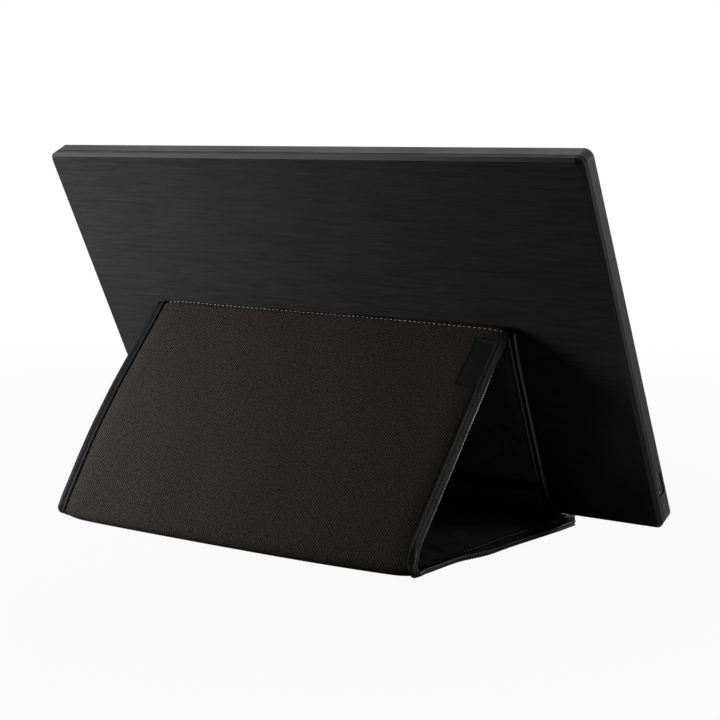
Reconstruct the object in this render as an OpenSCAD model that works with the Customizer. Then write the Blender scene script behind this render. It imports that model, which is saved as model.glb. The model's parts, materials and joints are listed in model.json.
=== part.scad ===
// Portable monitor leaning on its own fabric sleeve.
// The sleeve is folded into a triangular stand: a base on the table, a front panel that
// rises to the ridge and a rear panel behind the monitor. The sleeve's closing flap lies
// on the base's tip and makes the lip that the monitor stands on.
// Axes: +X along the monitor's width, +Y behind the screen, +Z up. The origin is on the
// table, in the middle of the footprint. Millimetres and degrees.

/* [Monitor case] */
// Thickness of the monitor
monitor_t = 13.4; // [12.8:0.1:18]
// Lean of the monitor back from upright
lean = 26.5; // [18:0.5:36]
// Radius of the monitor's four corners
corner_r = 5; // [4:0.5:12]
// Chamfer round the back of the rear cover
back_chamfer = 2.1; // [1:0.1:2.4]
// Chamfer round the front of the bezel
front_chamfer = 0.6; // [0.3:0.1:1.2]
// Side wall of the rear cover and the bezel
wall = 1.6; // [1.5:0.1:2.5]
// Back wall of the rear cover
back_wall = 1.6; // [1.2:0.1:2]
// Front wall of the bezel
face_wall = 1.4; // [1:0.1:2]
// Height of the rear cover's rim
rim_h = 4.6; // [4.2:0.1:5.4]
// Shadow gap between rear cover and bezel
groove = 0.4; // [0.2:0.1:0.6]
// Thickness of the bezel's inner tongue
tongue_t = 1; // [0.8:0.1:1.5]
// Depth that the tongue reaches into the rear cover
tongue_reach = 1.6; // [1.2:0.1:2]
// Length of a snap bump
snap_l = 8; // [5:1:14]
// Height of a snap bump off the tongue
snap_h = 0.5; // [0.3:0.1:0.7]
// Snap bumps along each long side
snaps_long = 5; // [2:1:8]
// Snap bumps along each short side
snaps_short = 3; // [2:1:5]
// Space without snap bumps at each corner
snap_space = 30; // [20:1:40]
// Width of the ribs that hold the display panel
panel_rib = 3; // [2:0.5:5]

/* [Screen] */
// Width of the lit picture
picture_w = 344.2; // [290:0.2:400]
// Height of the lit picture
picture_h = 193.6; // [170:0.2:230]
// Border on each side of the picture
side_border = 18.9; // [17:0.1:30]
// Border above the picture
top_border = 18; // [12:0.2:30]
// Border below the picture
chin_h = 24.4; // [22:0.2:32]
// Step of the bezel's window round the picture
window_step = 1; // [0.5:0.1:2]
// Border of the display glass outside the picture
glass_border = 3; // [2.4:0.1:4]
// Width of the moulded frame round the display glass
frame_border = 4.2; // [3:0.1:5]
// Thickness of the foam gasket behind the bezel
gasket_t = 0.3; // [0.2:0.1:0.5]
// Thickness of the display glass
glass_t = 1.1; // [0.9:0.1:1.4]
// Thickness of the stack of optical films
films_t = 0.6; // [0.4:0.1:0.8]
// Thickness of the light guide
guide_t = 2.2; // [2:0.1:3]
// Thickness of the reflector sheet
reflector_t = 0.3; // [0.2:0.1:0.5]
// Thickness of the panel's metal tray
tray_t = 0.6; // [0.4:0.1:0.8]
// Width of the strip of lamps below the light guide
lamp_strip_w = 1.2; // [0.8:0.1:1.6]
// Width of a lamp
lamp_w = 4; // [3:0.5:6]
// Number of lamps
lamps = 36; // [12:1:48]

/* [Boards] */
// Length of the main board
board_l = 96; // [84:1:120]
// Height of the main board
board_h = 58; // [52:1:70]
// Thickness of the circuit boards
board_t = 1.2; // [0.8:0.1:1.6]
// Thickness of the insulating sheet behind the panel's tray
sheet_t = 0.15; // [0.1:0.05:0.2]
// Height of the side socket's middle above the main board's lower edge
socket_in_board = 14; // [10:0.5:20]
// Distance of the main board's screws from its edges
screw_inset = 5; // [3.5:0.5:8]
// Margin of the insulating sheet round the main board
sheet_margin = 3; // [1:0.5:6]
// Height of the side socket's middle above the monitor's lower edge
socket_up = 27; // [24:0.5:34]
// Length of the side socket's shell
socket_l = 12; // [10:0.5:13]
// Thickness of the side socket's shell
socket_t = 3; // [2.4:0.1:3.4]
// Depth of the side socket's shell
socket_d = 7.6; // [6:0.1:8]
// Sheet metal of the side socket's shell
socket_wall = 0.4; // [0.3:0.05:0.6]
// Length of the recess round the side socket
recess_l = 14; // [13.6:0.1:16]
// Width of the recess round the side socket
recess_w = 5.6; // [4.6:0.1:6]
// Depth of the recess round the side socket
recess_d = 0.7; // [0.4:0.1:0.9]
// Side of the largest chip
chip_w = 12; // [8:0.5:16]
// Height of a chip
chip_h = 1; // [0.8:0.1:1.4]
// Length of the shielding can
can_l = 26; // [18:1:32]
// Width of the shielding can
can_w = 18; // [12:1:22]
// Height of the shielding can
can_h = 1.8; // [1.4:0.1:2.2]
// Sheet metal of the shielding can
can_wall = 0.2; // [0.15:0.05:0.3]
// Length of the timing board
timing_l = 210; // [160:1:240]
// Width of the timing board
timing_w = 14; // [10:0.5:18]
// Space between the main board and the timing board
board_space = 12; // [6:1:20]
// Width of the ribbon cable
ribbon_w = 8; // [6:0.5:10]
// Thickness of the ribbon cable
ribbon_t = 0.4; // [0.3:0.1:0.6]
// Length of the ribbon cable on each board
ribbon_lap = 8; // [5:0.5:12]
// Shank radius of the board screws
screw_r = 1; // [0.8:0.1:1.2]
// Head radius of the board screws
screw_head_r = 1.9; // [1.6:0.1:2.2]
// Head height of the board screws
screw_head_h = 1; // [0.8:0.1:1.4]
// Side of a foam support pad
pad_w = 24; // [16:1:32]

/* [Buttons] */
// Length of a button's cap
button_l = 8; // [6:0.5:10]
// Width of a button's cap
button_w = 3.2; // [2.4:0.1:4]
// Height of a button above the bezel
button_proud = 0.5; // [0.5:0.1:1]
// Travel of a button
button_travel = 0.4; // [0.3:0.05:0.5]
// Spacing of the buttons
button_pitch = 13; // [12:0.5:16]
// Distance of the outer button's middle from the monitor's side
button_side = 26; // [24:0.5:40]
// Height of the buttons' middle above the monitor's lower edge
button_up = 8; // [7.4:0.1:8.6]
// Rim of a button inside the bezel
button_rim = 0.8; // [0.5:0.1:1]
// Clearance round a button's cap
button_gap = 0.3; // [0.2:0.05:0.4]
// Width of the button board
button_board_w = 8; // [7:0.5:9]
// Side of a push switch
switch_w = 4; // [3:0.1:5]
// Height of a push switch
switch_h = 1.5; // [1.2:0.1:1.8]
// Radius of a switch's plunger
plunger_r = 0.8; // [0.5:0.1:1.2]
// Height of a switch's plunger
plunger_h = 0.4; // [0.3:0.1:0.6]
// Radius of the power light's window
light_r = 0.9; // [0.6:0.1:1.2]

/* [Cover] */
// Width of the cover
cover_w = 267; // [220:1:320]
// Sideways place of the cover under the monitor
cover_side = 7; // [-20:1:20]
// Height of the ridge
ridge_h = 121; // [105:1:135]
// Length of the front panel between its folds
front_l = 143.2; // [136:0.2:170]
// Height of the sleeve's mouth, where the flap starts
mouth_h = 24.2; // [20:0.2:28]
// Angle that the rear panel turns away from the monitor
rear_turn_angle = 3.85; // [2:0.05:6]
// How far the base reaches in front of the monitor's lower back edge
base_reach = 14.9; // [14.6:0.1:22]
// Thickness of a folded panel
panel_t = 4; // [3.6:0.1:5]
// Thickness of the outer twill
twill_t = 1; // [0.6:0.1:1.2]
// Thickness of the inner lining
lining_t = 1; // [0.6:0.1:1.2]
// Width of the binding on a panel's face
binding_w = 6; // [4:0.5:9]
// Depth that a board reaches into the binding
board_tuck = 3; // [1:0.5:3.5]
// Radius of the cover's corners at the base's tip
tip_r = 5; // [3:0.5:6]
// Thickness of the closing flap
flap_t = 2; // [1.6:0.1:3]
// Thickness of the flap's outer twill
flap_twill_t = 0.9; // [0.6:0.1:1]
// Radius of the flap's bend, on its upper face
flap_r = 21.5; // [19:0.5:26]
// How far the flap stops short of the base's tip
flap_short = 0.7; // [0:0.1:2]
// Thickness of the closure tapes on the flap and the base
tape_t = 0.6; // [0.4:0.1:0.7]
// Length of the closure tapes
tape_l = 230; // [120:1:250]
// Width of the label
label_w = 11.5; // [8:0.5:20]
// Length of the label
label_l = 32; // [20:1:50]
// Thickness of the label
label_t = 0.6; // [0.4:0.1:1]
// Distance of the label from the binding
label_in = 1; // [0:0.5:20]
// Distance of the label from the ridge
label_down = 5; // [4:0.5:20]

/* [Clearances] */
// Gap between the monitor's lower edge and the lip
seat_gap = 0.15; // [0.1:0.05:0.3]
// Gap between the monitor's back and the ridge
rest_gap = 0.3; // [0.2:0.05:0.5]
// Fit between parts of the monitor that are pushed together
fit_gap = 0.15; // [0.1:0.05:0.25]
// Gap between the panels' square ends and the folds' fabric
fold_gap = 0.1; // [0.05:0.05:0.3]

/* [Hidden] */
$fn = 48;
monitor_w = picture_w + 2 * side_border;
monitor_h = chin_h + picture_h + top_border;

// ---- the cover's folds, in the plane across the fold lines ----

// Height of the monitor's lower back edge, before its chamfer
monitor_z = panel_t + flap_t + seat_gap - back_chamfer * sin(lean);
// Top of the flap where it lies on the base
lip_z = panel_t + flap_t;
// Axis of the ridge fold: the ridge's rounded outside just clears the monitor's back
ridge_z = ridge_h - panel_t;
ridge_y = (ridge_z - monitor_z) * tan(lean) + (panel_t + rest_gap) / cos(lean);
// Axis of the near fold, on the base's inner face
near_y = ridge_y + sqrt(front_l * front_l - pow(ridge_z - panel_t, 2));
front_slope = atan2(ridge_z - panel_t, near_y - ridge_y);
rear_slope = 90 - lean + rear_turn_angle;
rear_l = (ridge_z + panel_t * cos(rear_slope) - mouth_h) / sin(rear_slope);
// Outer edge of the rear panel's lower end
mouth_y = ridge_y - rear_l * cos(rear_slope) - panel_t * sin(rear_slope);
tip_y = -base_reach;
base_l = near_y - tip_y;
// Centre of the flap's bend
bend_z = lip_z + flap_r;
bend_angle = acos(1 - (mouth_h - lip_z) / flap_r);
bend_y = mouth_y - flap_r * sin(bend_angle);
// The flap starts where its thickness clears the rear panel's end
flap_start = acos((bend_z - mouth_h + flap_t / tan(rear_slope) + fold_gap)
    / (flap_r + flap_t));
flap_tip_y = tip_y + flap_short;
// Middle of the footprint
origin_y = (near_y + panel_t + tip_y) / 2;

cover_half = cover_w / 2;
face_half = cover_half - binding_w;
tuck_half = face_half + board_tuck;

// ---- the monitor's layers, measured from its back ----

face_z = monitor_t - face_wall;
glass_z = face_z - gasket_t - glass_t;
films_z = glass_z - films_t;
guide_z = films_z - guide_t;
reflector_z = guide_z - reflector_t;
tray_z = reflector_z - tray_t;
sheet_z = tray_z - sheet_t;
board_z = sheet_z - board_t;
picture_y = chin_h + picture_h / 2;
glass_w = picture_w + 2 * glass_border;
glass_h = picture_h + 2 * glass_border;
panel_w = glass_w + 2 * frame_border;
panel_h = glass_h + 2 * frame_border;
panel_bottom = picture_y - panel_h / 2;

// Main board, in the corner by the side socket
board_edge = monitor_w / 2 - wall - tongue_t - 2 * fit_gap;
board_mid_x = -board_edge + board_l / 2;
board_mid_y = socket_up - socket_in_board + board_h / 2;
board_screw_x = [-panel_w / 2 + 2 * screw_inset, -board_edge + board_l - screw_inset];
board_screw_y = [max(board_mid_y - board_h / 2, panel_bottom) + screw_inset,
    board_mid_y + board_h / 2 - screw_inset];
screw_hole_r = screw_r + 0.1;
screw_l = board_t + sheet_t + tray_t;

// Buttons and their board
buttons = 4;
button_x = [for (i = [0:buttons - 1]) monitor_w / 2 - button_side - i * button_pitch];
flange_t = 0.9;
flange_z = face_z - fit_gap - flange_t;
plunger_gap = button_travel + 0.1;
switch_z = flange_z - plunger_gap - plunger_h - switch_h;
button_board_z = switch_z - board_t;
button_board_x = (button_x[0] + button_x[buttons - 1]) / 2;
light_step = 9;
light_x = button_x[0] + light_step;
post_r = 2.4;
post_step = light_step + 6;
post_x = [button_x[buttons - 1] - post_step, button_x[0] + post_step];
button_board_l = post_x[1] - post_x[0] + 2 * post_r + 1;

// ---- placing ----

// Puts a shape drawn on the table's frame, y from the monitor's lower back edge, in place
module on_table() { translate([cover_side, -origin_y, 0]) children(); }

// Monitor: x across, y up along the back, z from the back to the screen
module in_monitor() {
    translate([0, -origin_y, monitor_z]) rotate([90 - lean, 0, 0]) children();
}

// Panels: x across, y away from the panel's fold, inner face at z = 0, outer face below
module in_base() { on_table() translate([0, near_y, panel_t]) children(); }
module in_front() {
    on_table() translate([0, near_y, panel_t]) rotate([180 - front_slope, 0, 0]) children();
}
module in_rear() {
    on_table() translate([0, ridge_y, ridge_z]) rotate([180 + rear_slope, 0, 0]) children();
}

// Extrudes a shape drawn in the plane across the folds along x, centred
module along_x(length) {
    rotate([90, 0, 90]) linear_extrude(height = length, center = true) children();
}

// ---- shared shapes ----

// A block centred in x, from y0 to y1 and z0 to z1
module slab(width, y0, y1, z0, z1) {
    translate([-width / 2, y0, z0]) cube([width, y1 - y0, z1 - z0]);
}

// A plate with round corners, centred in x and y, standing on z = 0
module round_plate(w, h, t, r) {
    cube_w = w - 2 * r;
    cube_h = h - 2 * r;
    translate([-cube_w / 2, -h / 2, 0]) cube([cube_w, h, t]);
    translate([-w / 2, -cube_h / 2, 0]) cube([w, cube_h, t]);
    for (sx = [-1, 1], sy = [-1, 1])
        translate([sx * cube_w / 2, sy * cube_h / 2, 0]) cylinder(h = t, r = r);
}

// The same plate with its lower edge chamfered all round
module chamfered_plate(w, h, t, r, chamfer) {
    straight_w = w - 2 * r;
    straight_h = h - 2 * r;
    translate([0, 0, chamfer]) round_plate(w, h, t - chamfer, r);
    along_x(straight_w) chamfered_outline(h, chamfer);
    rotate([0, 0, 90]) along_x(straight_h) chamfered_outline(w, chamfer);
    for (sx = [-1, 1], sy = [-1, 1])
        translate([sx * straight_w / 2, sy * straight_h / 2, 0])
            cylinder(h = chamfer, r1 = r - chamfer, r2 = r);
}

module chamfered_outline(width, chamfer) {
    polygon([[-width / 2 + chamfer, 0], [width / 2 - chamfer, 0],
        [width / 2, chamfer], [-width / 2, chamfer]]);
}

// A rectangular ring, centred
module ring(outer_w, outer_h, inner_w, inner_h, t) {
    difference() {
        translate([-outer_w / 2, -outer_h / 2, 0]) cube([outer_w, outer_h, t]);
        translate([-inner_w / 2, -inner_h / 2, -1]) cube([inner_w, inner_h, t + 2]);
    }
}

// One edge binding, a channel that wraps a panel's edge on the side given
module side_binding(side, y0, y1) {
    mirror([side < 0 ? 1 : 0, 0, 0]) difference() {
        union() {
            translate([face_half, y0, -panel_t])
                cube([binding_w - panel_t / 2, y1 - y0, panel_t]);
            translate([cover_half - panel_t / 2, y0, -panel_t / 2]) rotate([-90, 0, 0])
                cylinder(h = y1 - y0, r = panel_t / 2);
        }
        translate([face_half - 1, y0 - 1, -panel_t + twill_t])
            cube([board_tuck + 1, y1 - y0 + 2, panel_t - twill_t - lining_t]);
    }
}

// Points of the flap's profile at a distance below its upper face
function flap_line(below) = concat(
    [for (i = [0:12]) let (a = flap_start * (1 - i / 12))
        [bend_y + (flap_r + below) * sin(a), bend_z - (flap_r + below) * cos(a)]],
    [[flap_tip_y, lip_z - below]]);
function reversed(points) = [for (i = [len(points) - 1:-1:0]) points[i]];

// The flap's profile between two distances below its upper face
module flap_profile(above, below) {
    polygon(concat(flap_line(above), reversed(flap_line(below))));
}

// A bent strip of the fold's outside, from angle a0 to a1 about the fold's axis
module fold_profile(inner, outer, a0, a1) {
    steps = 16;
    polygon(concat(
        [for (i = [0:steps]) let (a = a0 + (a1 - a0) * i / steps) outer * [cos(a), sin(a)]],
        [for (i = [steps:-1:0]) let (a = a0 + (a1 - a0) * i / steps) inner * [cos(a), sin(a)]]));
}

// ---- cover: base ----

module base_outer() {
    color("#26211f") in_base()
        slab(2 * face_half, -base_l + binding_w, 0, -panel_t, -panel_t + twill_t);
}

module base_board() {
    color("#6b5a45") in_base()
        slab(2 * tuck_half, -base_l + binding_w - board_tuck, 0, -panel_t + twill_t, -lining_t);
}

module base_lining() {
    color("#141414") difference() {
        in_base() slab(2 * face_half, -base_l + binding_w, 0, -lining_t, 0);
        on_table() tape(panel_t - tape_t, panel_t + 1);
    }
}

// The base's binding runs round three edges: two sides and the tip
module base_binding() {
    color("#1b1b1b") in_base() {
        for (side = [-1, 1]) side_binding(side, -base_l + binding_w, 0);
        difference() {
            union() {
                slab(cover_w - 2 * tip_r, -base_l, -base_l + binding_w, -panel_t, 0);
                for (side = [-1, 1]) {
                    translate([side * (cover_half - tip_r), -base_l + tip_r, -panel_t])
                        cylinder(h = panel_t, r = tip_r);
                    translate([side * (cover_half - tip_r / 2), -base_l + tip_r, -panel_t])
                        translate([-tip_r / 2, 0, 0]) cube([tip_r, binding_w - tip_r, panel_t]);
                }
            }
            slab(2 * tuck_half, -base_l + binding_w - board_tuck, -base_l + 2 * tip_r + 1,
                -panel_t + twill_t, -lining_t);
            slab(2 * face_half, -base_l + binding_w, -base_l + 2 * tip_r + 1, -panel_t - 1, 1);
        }
    }
}

// A closure tape between two heights, under the flat stretch of the flap
module tape(z0, z1) {
    slab(tape_l, flap_tip_y + binding_w, bend_y, z0, z1);
}

module base_tape() { color("#0f0f0f") on_table() tape(panel_t - tape_t, panel_t); }

// ---- cover: front and rear panels ----

module front_outer() {
    color("#26211f") in_front() slab(2 * face_half, 0, front_l, -panel_t, -panel_t + twill_t);
}
module front_board() {
    color("#6b5a45") in_front() slab(2 * tuck_half, 0, front_l, -panel_t + twill_t, -lining_t);
}
module front_lining() {
    color("#141414") in_front() slab(2 * face_half, 0, front_l, -lining_t, 0);
}
module front_binding() {
    color("#1b1b1b") in_front() for (side = [-1, 1]) side_binding(side, 0, front_l);
}

// Plain label sewn on the front panel, beside the binding
module label_patch() {
    color("#171717") in_front()
        translate([-face_half + label_in, front_l - label_down - label_l, -panel_t - label_t])
            cube([label_w, label_l, label_t]);
}

module rear_outer() {
    color("#26211f") in_rear() slab(2 * face_half, 0, rear_l, -panel_t, -panel_t + twill_t);
}
module rear_board() {
    color("#6b5a45") in_rear() slab(2 * tuck_half, 0, rear_l, -panel_t + twill_t, -lining_t);
}
module rear_lining() {
    color("#141414") in_rear() slab(2 * face_half, 0, rear_l, -lining_t, 0);
}
module rear_binding() {
    color("#1b1b1b") in_rear() for (side = [-1, 1]) side_binding(side, 0, rear_l);
}

// ---- cover: folds ----

// Angle that the fabric turns round the near fold, from straight down
near_from = -90;
near_to = 90 - front_slope;
ridge_from = 90 - front_slope;
ridge_to = 90 + rear_slope;
fold_inner = panel_t - twill_t;

module near_fold(inner, half_from, half_to) {
    on_table() translate([0, near_y, panel_t])
        fold_strips(inner, half_from, half_to, near_from, near_to);
}
module ridge_fold(inner, half_from, half_to) {
    on_table() translate([0, ridge_y, ridge_z])
        fold_strips(inner, half_from, half_to, ridge_from, ridge_to);
}
// The strip across the middle, or one at each end
module fold_strips(inner, half_from, half_to, a0, a1) {
    trim = asin(fold_gap / panel_t);
    if (half_from == 0)
        along_x(2 * half_to) fold_profile(inner, panel_t, a0 + trim, a1 - trim);
    else
        for (side = [-1, 1]) translate([side * (half_from + half_to) / 2, 0, 0])
            along_x(half_to - half_from) fold_profile(inner, panel_t, a0 + trim, a1 - trim);
}

module near_fold_fabric() { color("#26211f") near_fold(fold_inner, 0, face_half); }
module near_fold_binding() { color("#1b1b1b") near_fold(panel_t / 3, face_half, cover_half - 1); }
module ridge_fold_fabric() { color("#26211f") ridge_fold(fold_inner, 0, face_half); }
module ridge_fold_binding() { color("#1b1b1b") ridge_fold(panel_t / 3, face_half, cover_half - 1); }

// ---- cover: closing flap ----

module flap_outer() {
    color("#26211f") on_table() difference() {
        along_x(2 * face_half) flap_profile(0, flap_twill_t);
        flap_tip_cut(face_half + 1);
    }
}

module flap_lining() {
    color("#141414") on_table() difference() {
        along_x(2 * face_half) flap_profile(flap_twill_t, flap_t);
        flap_tip_cut(face_half + 1);
        tape(0, panel_t + tape_t);
    }
}

// Takes away the flap's last stretch, which belongs to its binding
module flap_tip_cut(half) {
    slab(2 * half, flap_tip_y - 1, flap_tip_y + binding_w, lip_z - flap_t - 1, lip_z + 1);
}

module flap_binding() {
    color("#1b1b1b") on_table() {
        difference() {
            along_x(cover_w) flap_profile(0, flap_t);
            slab(2 * face_half, flap_tip_y + binding_w, mouth_y + panel_t + flap_t, 0, ridge_z);
        }
    }
}

module flap_tape() { color("#0f0f0f") on_table() tape(panel_t, panel_t + tape_t); }

// ---- monitor: case ----

module case_plate(t, inset) {
    translate([0, monitor_h / 2, 0])
        round_plate(monitor_w - 2 * inset, monitor_h - 2 * inset, t, corner_r - inset);
}

// Places of the snap bumps: [x, y, turn] round the rim, clear of the side socket
snap_low = socket_up + socket_l + snap_space;
snap_places = concat(
    [for (i = [0:snaps_long - 1], top = [0, 1])
        [((i + 0.5) / snaps_long - 0.5) * (monitor_w - 2 * snap_space), top * monitor_h, 180 * top]],
    [for (i = [0:snaps_short - 1], side = [-1, 1])
        [side * monitor_w / 2, snap_low + (i + 0.5) / snaps_short * (monitor_h - snap_low - snap_space),
            side * 90]]);
snap_z = rim_h - tongue_reach / 2;

// A bump on the tongue's outside, grown by a clearance for its recess in the rim
module snaps(gap) {
    rise = wall + fit_gap;
    for (p = snap_places) translate([p[0], p[1], snap_z]) rotate([0, 0, p[2]])
        translate([-snap_l / 2 - gap, rise - snap_h - gap, -tongue_reach / 4 - gap])
            cube([snap_l + 2 * gap, snap_h + 2 * gap + (gap > 0 ? 1 : 0), tongue_reach / 2 + 2 * gap]);
}

module rear_cover() {
    color("#202122") in_monitor() difference() {
        translate([0, monitor_h / 2, 0])
            chamfered_plate(monitor_w, monitor_h, rim_h, corner_r, back_chamfer);
        translate([0, 0, back_wall]) case_plate(rim_h, wall);
        snaps(fit_gap);
    }
}

module front_bezel() {
    bezel_z = rim_h + groove;
    color("#1a1b1c") in_monitor() difference() {
        union() {
            difference() {
                translate([0, monitor_h / 2, monitor_t]) mirror([0, 0, 1])
                    chamfered_plate(monitor_w, monitor_h, monitor_t - bezel_z, corner_r, front_chamfer);
                translate([0, 0, bezel_z - 1]) case_plate(face_z - bezel_z + 1, wall);
            }
            difference() {
                union() {
                    translate([0, 0, rim_h - tongue_reach])
                        case_plate(tongue_reach + groove + 1, wall + fit_gap);
                    translate([0, 0, bezel_z]) case_plate(1, wall);
                }
                translate([0, 0, rim_h - tongue_reach - 1])
                    case_plate(tongue_reach + groove + 3, wall + fit_gap + tongue_t);
            }
            snaps(0);
            panel_ribs();
            for (x = post_x) translate([x, button_up, button_board_z + board_t])
                cylinder(h = face_z - button_board_z - board_t, r = post_r);
        }
        translate([-picture_w / 2 - window_step, chin_h - window_step, face_z - 1])
            cube([picture_w + 2 * window_step, picture_h + 2 * window_step, face_wall + 2]);
        for (x = button_x) translate([x, button_up, 0])
            slab(button_l + 2 * button_gap, -button_w / 2 - button_gap, button_w / 2 + button_gap,
                face_z - 1, monitor_t + 1);
        translate([light_x, button_up, face_z - 1]) cylinder(h = face_wall + 2, r = light_r + fit_gap / 2);
        for (x = post_x) translate([x, button_up, button_board_z])
            cylinder(h = screw_l + 1, r = screw_r + 0.02);
        socket_opening();
    }
}

// Ribs on the bezel that hold the panel sideways
module panel_ribs() {
    side_gap = monitor_w / 2 - wall - panel_w / 2 - fit_gap;
    low_gap = panel_bottom - wall - fit_gap;
    high_gap = monitor_h - wall - panel_bottom - panel_h - fit_gap;
    tall = face_z - reflector_z;
    for (side = [-1, 1], up = [0.35, 0.85])
        translate([side * (monitor_w / 2 - wall - side_gap / 2), panel_bottom + up * panel_h, reflector_z])
            translate([-side_gap / 2 - (side < 0 ? 0.5 : 0), -panel_rib / 2, 0]) cube([side_gap + 0.5, panel_rib, tall]);
    for (x = [-0.3, 0.1]) translate([x * panel_w, 0, reflector_z]) {
        translate([-panel_rib / 2, wall - 0.5, 0]) cube([panel_rib, low_gap + 0.5, tall]);
        translate([-panel_rib / 2, monitor_h - wall - high_gap, 0]) cube([panel_rib, high_gap + 0.5, tall]);
    }
}

// ---- monitor: side socket ----

socket_x = -monitor_w / 2 + recess_d + fit_gap;
socket_mid_z = sheet_z + socket_t / 2;

// Recess in the bezel's side and the slot in its floor
module socket_opening() {
    translate([-monitor_w / 2 - 1, socket_up - recess_l / 2, socket_mid_z - recess_w / 2])
        cube([recess_d + 1, recess_l, recess_w]);
    translate([-monitor_w / 2, socket_up - socket_l / 2 - fit_gap, socket_mid_z - socket_t / 2 - fit_gap])
        cube([wall + 1, socket_l + 2 * fit_gap, socket_t + 2 * fit_gap]);
}

module side_socket() {
    color("#8f9296") in_monitor() difference() {
        translate([socket_x, socket_up - socket_l / 2, sheet_z]) cube([socket_d, socket_l, socket_t]);
        translate([socket_x - 1, socket_up - socket_l / 2 + socket_wall, sheet_z + socket_wall])
            cube([socket_d + 1 - socket_wall, socket_l - 2 * socket_wall, socket_t - 2 * socket_wall]);
    }
}

module socket_tongue() {
    tongue = socket_t / 4;
    color("#0d0d0d") in_monitor()
        translate([socket_x + 1, socket_up - socket_l / 2 + 1.5, socket_mid_z - tongue / 2])
            cube([socket_d - 1 - socket_wall, socket_l - 3, tongue]);
}

// ---- monitor: display panel ----

module at_picture(z) { in_monitor() translate([0, picture_y, z]) children(); }

module centred_block(w, h, t) { translate([-w / 2, -h / 2, 0]) cube([w, h, t]); }

module screen_gasket() {
    color("#111111") at_picture(face_z - gasket_t)
        ring(panel_w - 2, panel_h - 2, picture_w + 2 * window_step + 1, picture_h + 2 * window_step + 1, gasket_t);
}

module display_glass() {
    color("#0b0c10") at_picture(glass_z) centred_block(glass_w, glass_h, glass_t);
}

module panel_frame() {
    color("#e8e8e4") at_picture(reflector_z)
        ring(panel_w, panel_h, glass_w + 2 * fit_gap, glass_h + 2 * fit_gap, face_z - gasket_t - reflector_z);
}

module optical_films() {
    color("#f4f4f2") at_picture(films_z) centred_block(glass_w - 1, glass_h - 1, films_t);
}

module light_guide() {
    drop = lamp_strip_w + fit_gap;
    color("#dfe8ea") at_picture(guide_z) translate([0, drop / 2, 0])
        centred_block(glass_w - 1, glass_h - 1 - drop, guide_t);
}

module reflector_sheet() {
    color("#ffffff") at_picture(reflector_z) centred_block(glass_w - 1, glass_h - 1, reflector_t);
}

// Flexible strip with its row of lamps, along the light guide's lower edge
module lamp_strip() {
    strip = 0.3;
    strip_w = glass_w - 4;
    step = strip_w / lamps;
    color("#e9d27a") at_picture(guide_z) translate([0, -(glass_h - 1) / 2, 0]) {
        translate([-strip_w / 2, 0, 0]) cube([strip_w, strip, guide_t]);
        for (i = [0:lamps - 1]) translate([-strip_w / 2 + step * (i + 0.5), strip, guide_t / 4])
            translate([-lamp_w / 2, 0, 0]) cube([lamp_w, lamp_strip_w - strip, guide_t / 2]);
    }
}

module panel_tray() {
    color("#b9bcbe") in_monitor() difference() {
        translate([0, picture_y, tray_z]) centred_block(panel_w - 1, panel_h - 1, tray_t);
        for (x = board_screw_x, y = board_screw_y) translate([x, y, tray_z - 1])
            cylinder(h = tray_t + 2, r = screw_r + 0.02);
    }
}

// ---- monitor: electronics ----

sheet_low = panel_bottom + 1;
sheet_high = board_mid_y + board_h / 2 + sheet_margin;
sheet_right = -board_edge + board_l + sheet_margin;
module insulating_sheet() {
    color("#22252a") in_monitor() difference() {
        translate([-panel_w / 2 + 2, sheet_low, sheet_z])
            cube([sheet_right + panel_w / 2 - 2, sheet_high - sheet_low, sheet_t]);
        screw_holes();
    }
}

module screw_holes() {
    for (x = board_screw_x, y = board_screw_y) translate([x, y, 0])
        cylinder(h = monitor_t, r = screw_hole_r);
}

module main_board() {
    color("#17482f") in_monitor() difference() {
        translate([board_mid_x, board_mid_y, board_z]) centred_block(board_l, board_h, board_t);
        screw_holes();
    }
}

// Chips on the back of the main board
module board_chips() {
    small = chip_w / 2;
    color("#101010") in_monitor() translate([board_mid_x, board_mid_y, board_z - chip_h]) {
        translate([board_l * 0.22, board_h * 0.12, 0]) centred_block(chip_w, chip_w, chip_h);
        translate([board_l * 0.22, -board_h * 0.28, 0]) centred_block(small, small, chip_h);
        translate([-board_l * 0.3, board_h * 0.26, 0]) centred_block(small, chip_w, chip_h);
        translate([-board_l * 0.3, -board_h * 0.18, 0]) centred_block(small, small, chip_h);
    }
}

module shield_can() {
    color("#b4b7b9") in_monitor()
        translate([board_mid_x - board_l * 0.02, board_mid_y - board_h * 0.05, board_z - can_h]) difference() {
            centred_block(can_l, can_w, can_h);
            translate([0, 0, can_wall]) centred_block(can_l - 2 * can_wall, can_w - 2 * can_wall, can_h);
        }
}

timing_y = panel_bottom + 4 + timing_w / 2;
timing_x = -board_edge + board_l + board_space + timing_l / 2;
module timing_board() {
    color("#17482f") in_monitor() translate([timing_x, timing_y, tray_z - board_t])
        centred_block(timing_l, timing_w, board_t);
}

// Ribbon from the main board to the timing board, on the boards' backs
module ribbon_cable() {
    start_x = -board_edge + board_l - ribbon_lap;
    end_x = timing_x - timing_l / 2 + ribbon_lap;
    color("#c9c4b4") in_monitor() translate([0, timing_y - ribbon_w / 2, board_z]) {
        translate([start_x, 0, -ribbon_t]) cube([end_x - start_x, ribbon_w, ribbon_t]);
        translate([end_x - ribbon_lap / 2, 0, 0]) cube([ribbon_lap / 2, ribbon_w, sheet_t]);
    }
}

module button_board() {
    color("#17482f") in_monitor() difference() {
        translate([button_board_x, button_up, button_board_z])
            centred_block(button_board_l, button_board_w, board_t);
        for (x = post_x) translate([x, button_up, button_board_z - 1])
            cylinder(h = board_t + 2, r = screw_hole_r);
    }
}

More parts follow.
